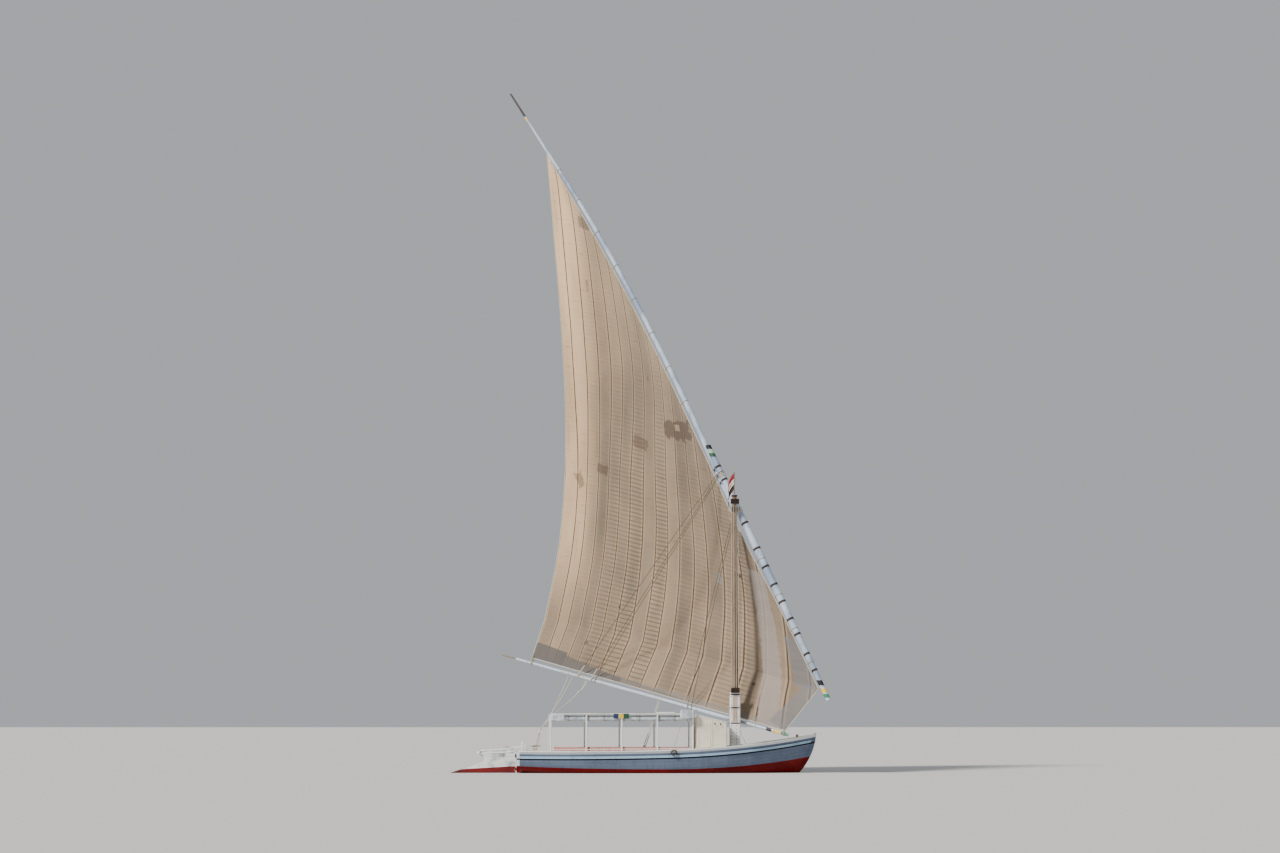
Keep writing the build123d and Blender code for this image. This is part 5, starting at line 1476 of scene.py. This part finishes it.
def boom_under(s):
    """Point under the boom at s, in the world."""
    axis, boom_radius = boom_at(s)
    return in_rig(axis - np.array([0.0, 0.0, float(boom_radius) + SHEET_R]))


def lead(points, sag, radius=SHEET_R):
    """Line through points: straight runs, each lowered by a parabola of the sag, ten points to a turn of its lay."""
    points = np.asarray(points, float)
    runs = []
    for a, b in zip(points, points[1:]):
        share = np.linspace(0, 1, int(np.linalg.norm(b - a) / (radius * 1.2)) + 8)[:-1, None]
        runs.append(a + (b - a) * share - [0, 0, 4 * sag] * share * (1 - share))
    return laid_rope("lead", np.concatenate(runs + [points[-1:]]), radius, lay=12.0, across=(0.6, 0.1, 0.75))


def wooden_block(middle, along, long=0.17, wide=0.055):
    """Shell of a pulley block: an egg whose radius follows the root of a parabola along it."""
    along = np.asarray(along, float) / np.linalg.norm(along)
    t = np.linspace(-0.97, 0.97, 15)
    path = np.asarray(middle, float) + along * (t * long / 2)[:, None]
    turn = full_turn(16)
    ring = np.cos(turn) * wide, np.sin(turn) * wide * 0.62
    return swept("block", path, *ring, across=(0.2, 0.3, 0.9), size=np.sqrt(1 - t**2))


for number, points in enumerate(
    [
        [boom_under(-7.909), POST_TURN],
        [boom_under(-7.712), POST_TURN],
        [boom_under(-7.077), SHEET_BLOCK, POST_TURN],
        [boom_under(-7.020), SHEET_BLOCK + np.array([0.03, 0.05, 0.02]), POST_TURN],
        [boom_under(-3.701), VANG_FOOT],
        [boom_under(-3.640), VANG_FOOT + np.array([0.06, 0.0, 0.0])],
    ]
):
    shift = np.array([0.016, 0.0, 0.010]) * ((number % 4) - 1.5)
    points = [np.asarray(points[0])] + [np.asarray(p) + shift for p in points[1:]]
    sheet = lead(points, 0.05)
    sheet.name = f"sheet_{number}"
    white_rope.on(sheet)
    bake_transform(sheet)

CLEAT_TURN_LONG = 0.085  # the figures of eight on the cleat: half length, half width, height over it
CLEAT_TURN_WIDE = 0.035
CLEAT_TURN_UP = 0.020
COIL_AT = (-5.02, 0.98, 0.648)
COIL_R = 0.115
COIL_WANDER = 0.028
COIL_STRETCH = 1.3  # how much longer than wide the coil lies

helm_lines = [
    lead([np.add(POST_TURN, (-0.02, 0.01, 0.02)), np.add(HELM_BLOCK, (0.0, 0.02, 0.06))], 0.01),
    lead([np.add(POST_TURN, (0.02, 0.01, -0.01)), np.add(HELM_BLOCK, (0.03, -0.02, 0.05))], 0.02),
    lead([np.add(HELM_BLOCK, (-0.02, 0.0, -0.06)), np.add(SHEET_CLEAT, (0.02, 0.0, 0.01))], 0.01),
    lead([np.add(HELM_BLOCK, (0.03, 0.0, -0.05)), np.add(SHEET_CLEAT, (0.06, 0.0, 0.01))], 0.02),
]
turn = np.linspace(0, 8 * np.pi, 200)
cleat_turns = np.stack(
    [
        SHEET_CLEAT[0] + CLEAT_TURN_LONG * np.sin(turn),
        SHEET_CLEAT[1] + CLEAT_TURN_WIDE * np.sin(2 * turn),
        SHEET_CLEAT[2] + CLEAT_TURN_UP + 0.012 * np.cos(turn * 2) + 0.02 * turn / (8 * np.pi),
    ],
    -1,
)
helm_lines.append(laid_rope("cleat_turns", cleat_turns, 0.011, across=(0.1, 0.2, 1.0)))
tail_turn = np.linspace(0, 7 * np.pi, 260)
tail_out = COIL_R + COIL_WANDER * np.sin(tail_turn * 0.7)
tail_coil = np.stack(
    [
        COIL_AT[0] + tail_out * np.cos(tail_turn) * COIL_STRETCH,
        COIL_AT[1] + tail_out * np.sin(tail_turn),
        COIL_AT[2] + 0.0075 * tail_turn / np.pi + 0.004 * np.sin(tail_turn * 2.3),
    ],
    -1,
)
helm_lines.append(laid_rope("tail_coil", tail_coil, 0.012, across=(0.1, 0.2, 1.0)))
helm_sheet = joined("helm_sheet", helm_lines)
white_rope.on(helm_sheet)
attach(helm_sheet, "hull")

block_wood = white_work("block_wood", paint_value(226, 222, 214), paint_value(170, 160, 146), (1, 1, 1), 0.5, 0.5)
block_shells = joined(
    "block_shells",
    [
        wooden_block(HELM_BLOCK, (0.3, 0.0, 1.0)),
        wooden_block(np.add(VANG_FOOT, (0.03, 0.03, 0.09)), (0.2, 0.4, 1.0)),
    ],
)
block_wood.on(block_shells)
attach(block_shells, "hull")
sheet_block = wooden_block(SHEET_BLOCK, (0.45, 0.9, 0.3))
sheet_block.name = "sheet_block"
block_wood.on(sheet_block)
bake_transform(sheet_block)

# Deck fittings on the gunwale: a wooden sheet cleat with two horns on two feet, and an iron eye for the vang.
# Both stand on the cap.
HORN_LONG = 0.13
HORN_UP = 0.012
HORN_THICK = (0.022, 0.016)
FOOT_R = 0.018
EYE_R = 0.032
EYE_ROD = 0.008

cleat_turn = full_turn(14)
cleat_run = np.linspace(-1, 1, 15)
horns = np.stack(
    [SHEET_CLEAT[0] + HORN_LONG * cleat_run, np.full(15, SHEET_CLEAT[1]), SHEET_CLEAT[2] + HORN_UP * cleat_run**2], -1
)
cleat_parts = [
    swept(
        "horns",
        horns,
        np.cos(cleat_turn) * HORN_THICK[0],
        np.sin(cleat_turn) * HORN_THICK[1],
        across=(0, 1, 0),
        size=1 - 0.55 * np.abs(cleat_run) ** 3,
    )
]
for dx in (-0.04, 0.04):
    foot = np.array([[SHEET_CLEAT[0] + dx, SHEET_CLEAT[1], SHEET_CLEAT[2] - 0.045], np.add(SHEET_CLEAT, (dx, 0, 0))])
    foot_ring = np.cos(cleat_turn) * FOOT_R, np.sin(cleat_turn) * FOOT_R
    cleat_parts.append(swept("foot", foot, *foot_ring, across=(0, 1, 0)))
cleat = joined("sheet_cleat", cleat_parts)
block_wood.on(cleat)
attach(cleat, "hull")
eye_turn = full_turn(28)
eye = np.stack(
    [
        VANG_FOOT[0] + 0.03 + EYE_R * np.cos(eye_turn),
        np.full(28, VANG_FOOT[1]),
        VANG_FOOT[2] - 0.006 + EYE_R * np.sin(eye_turn),
    ],
    -1,
)
eye_ring = np.cos(cleat_turn) * EYE_ROD, np.sin(cleat_turn) * EYE_ROD
vang_eye = swept("vang_eye", eye, *eye_ring, across=(0, 1, 0), loop=True)
ironwork.on(vang_eye)
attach(vang_eye, "hull")

# Canopy line and roof pole: a line from the starboard roof rail to the fender, which holds it at the gunwale,
# and a short white pole that lies on the awning.
FENDER_LINE = [(0.615, -1.386, 2.235), (0.165, -1.800, 0.860)]
POLE = [(-0.43, -1.150, 2.301), (0.29, -1.130, 2.303)]
POLE_R = 0.019

RING_AT = (0.210, -1.760, 0.868)  # the becket's middle
RING_REACH = (0.030, 0.040, 0.044)  # and how far it reaches along x, y and z

fender_line = [lead(FENDER_LINE, 0.02, 0.011)]
fender_ring = np.stack(
    [
        RING_AT[0] + RING_REACH[0] * np.cos(eye_turn),
        RING_AT[1] - 0.046 * np.cos(eye_turn) * 0.2 + RING_REACH[1] * np.sin(eye_turn),
        RING_AT[2] + RING_REACH[2] * np.cos(eye_turn),
    ],
    -1,
)
fender_line.append(laid_rope("becket", fender_ring, 0.009, across=(0.5, 0.2, 0.8), loop=True))
fender_rope = joined("fender_rope", fender_line)
hemp.on(fender_rope)
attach(fender_rope, "hull")
pole_path = np.array(POLE[0]) + (np.array(POLE[1]) - POLE[0]) * np.linspace(0, 1, 24)[:, None]
roof_pole = bar("roof_pole", pole_path, POLE_R, across=(0, 1, 0))
white_paint.on(roof_pole)
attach(roof_pole, "hull")

# Flag: one thin cotton cloth laced to the staff by its hoist, in plain stripes of red, white and black. With no
# wind its fly drops aft of the masthead, and the cloth gathers in long folds.
STAFF_TOP = 11.55
FLAG_TONES = (paint_value(150, 24, 30), paint_value(222, 218, 208), paint_value(26, 24, 27))
FLAG_HOIST = 0.66
FLAG_FLY = 0.76
FLAG_FALL = 0.70
FLAG_OUT = 0.215
FLAG_FOLDS = 4
FOLD_WIDE = 0.038  # how far the folds swing to each side, and fore and aft
FOLD_DEEP = 0.014
HOIST_AFT = 0.018  # how far aft of the mast's axis the hoist lies

down, fly = np.meshgrid(np.linspace(0, 1, 97), np.linspace(0, 1, 61), indexing="ij")
gather = np.clip(fly / 0.35, 0, 1) ** 1.5
drawn_out = np.pi / 2 * np.clip(fly * 1.5, 0, 1)
fold = 2 * np.pi * FLAG_FOLDS * down + 1.6 * fly + 0.5 * np.sin(5 * fly + 3 * down)
flag_points = np.stack(
    [
        MAST_X - HOIST_AFT - FLAG_OUT * np.sin(drawn_out) + FOLD_DEEP * gather * np.cos(fold),
        FOLD_WIDE * gather * np.sin(fold) + 0.004 * np.sin(17 * fly + 9 * down),
        STAFF_TOP - FLAG_HOIST * down - FLAG_FALL * fly**1.15 + 0.006 * gather * np.cos(fold * 0.5),
    ],
    -1,
)
flag_uv = np.stack([fly * FLAG_FLY, down * FLAG_HOIST], -1)
flag = thickened(surface("flag_cloth", flag_points, flag_uv), 0.0015)
flag_finish = Finish("flag_cloth", roughness=0.85, Sheen_Weight=0.2)
flag_along, flag_down = flag_finish.uv()
flag_tone = flag_finish.mix(flag_down > FLAG_HOIST / 3, FLAG_TONES[0], FLAG_TONES[1])
flag_tone = flag_finish.mix(flag_down > FLAG_HOIST * 2 / 3, flag_tone, FLAG_TONES[2])
flag_fade = flag_finish.noise(6.0, detail=5)
flag_finish.set("Base Color", flag_finish.mix(flag_finish.ramp(flag_fade, 0.45, 0.75) * 0.3, flag_tone, BARE_WOOD))
flag_finish.relief(flag_finish.noise(30.0, (1, 1, 0.3), 5), 0.003, 0.7)
flag_finish.on(flag)
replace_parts(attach(flag, "hull"), "flag")
round(sail_area(flag_points), 2)
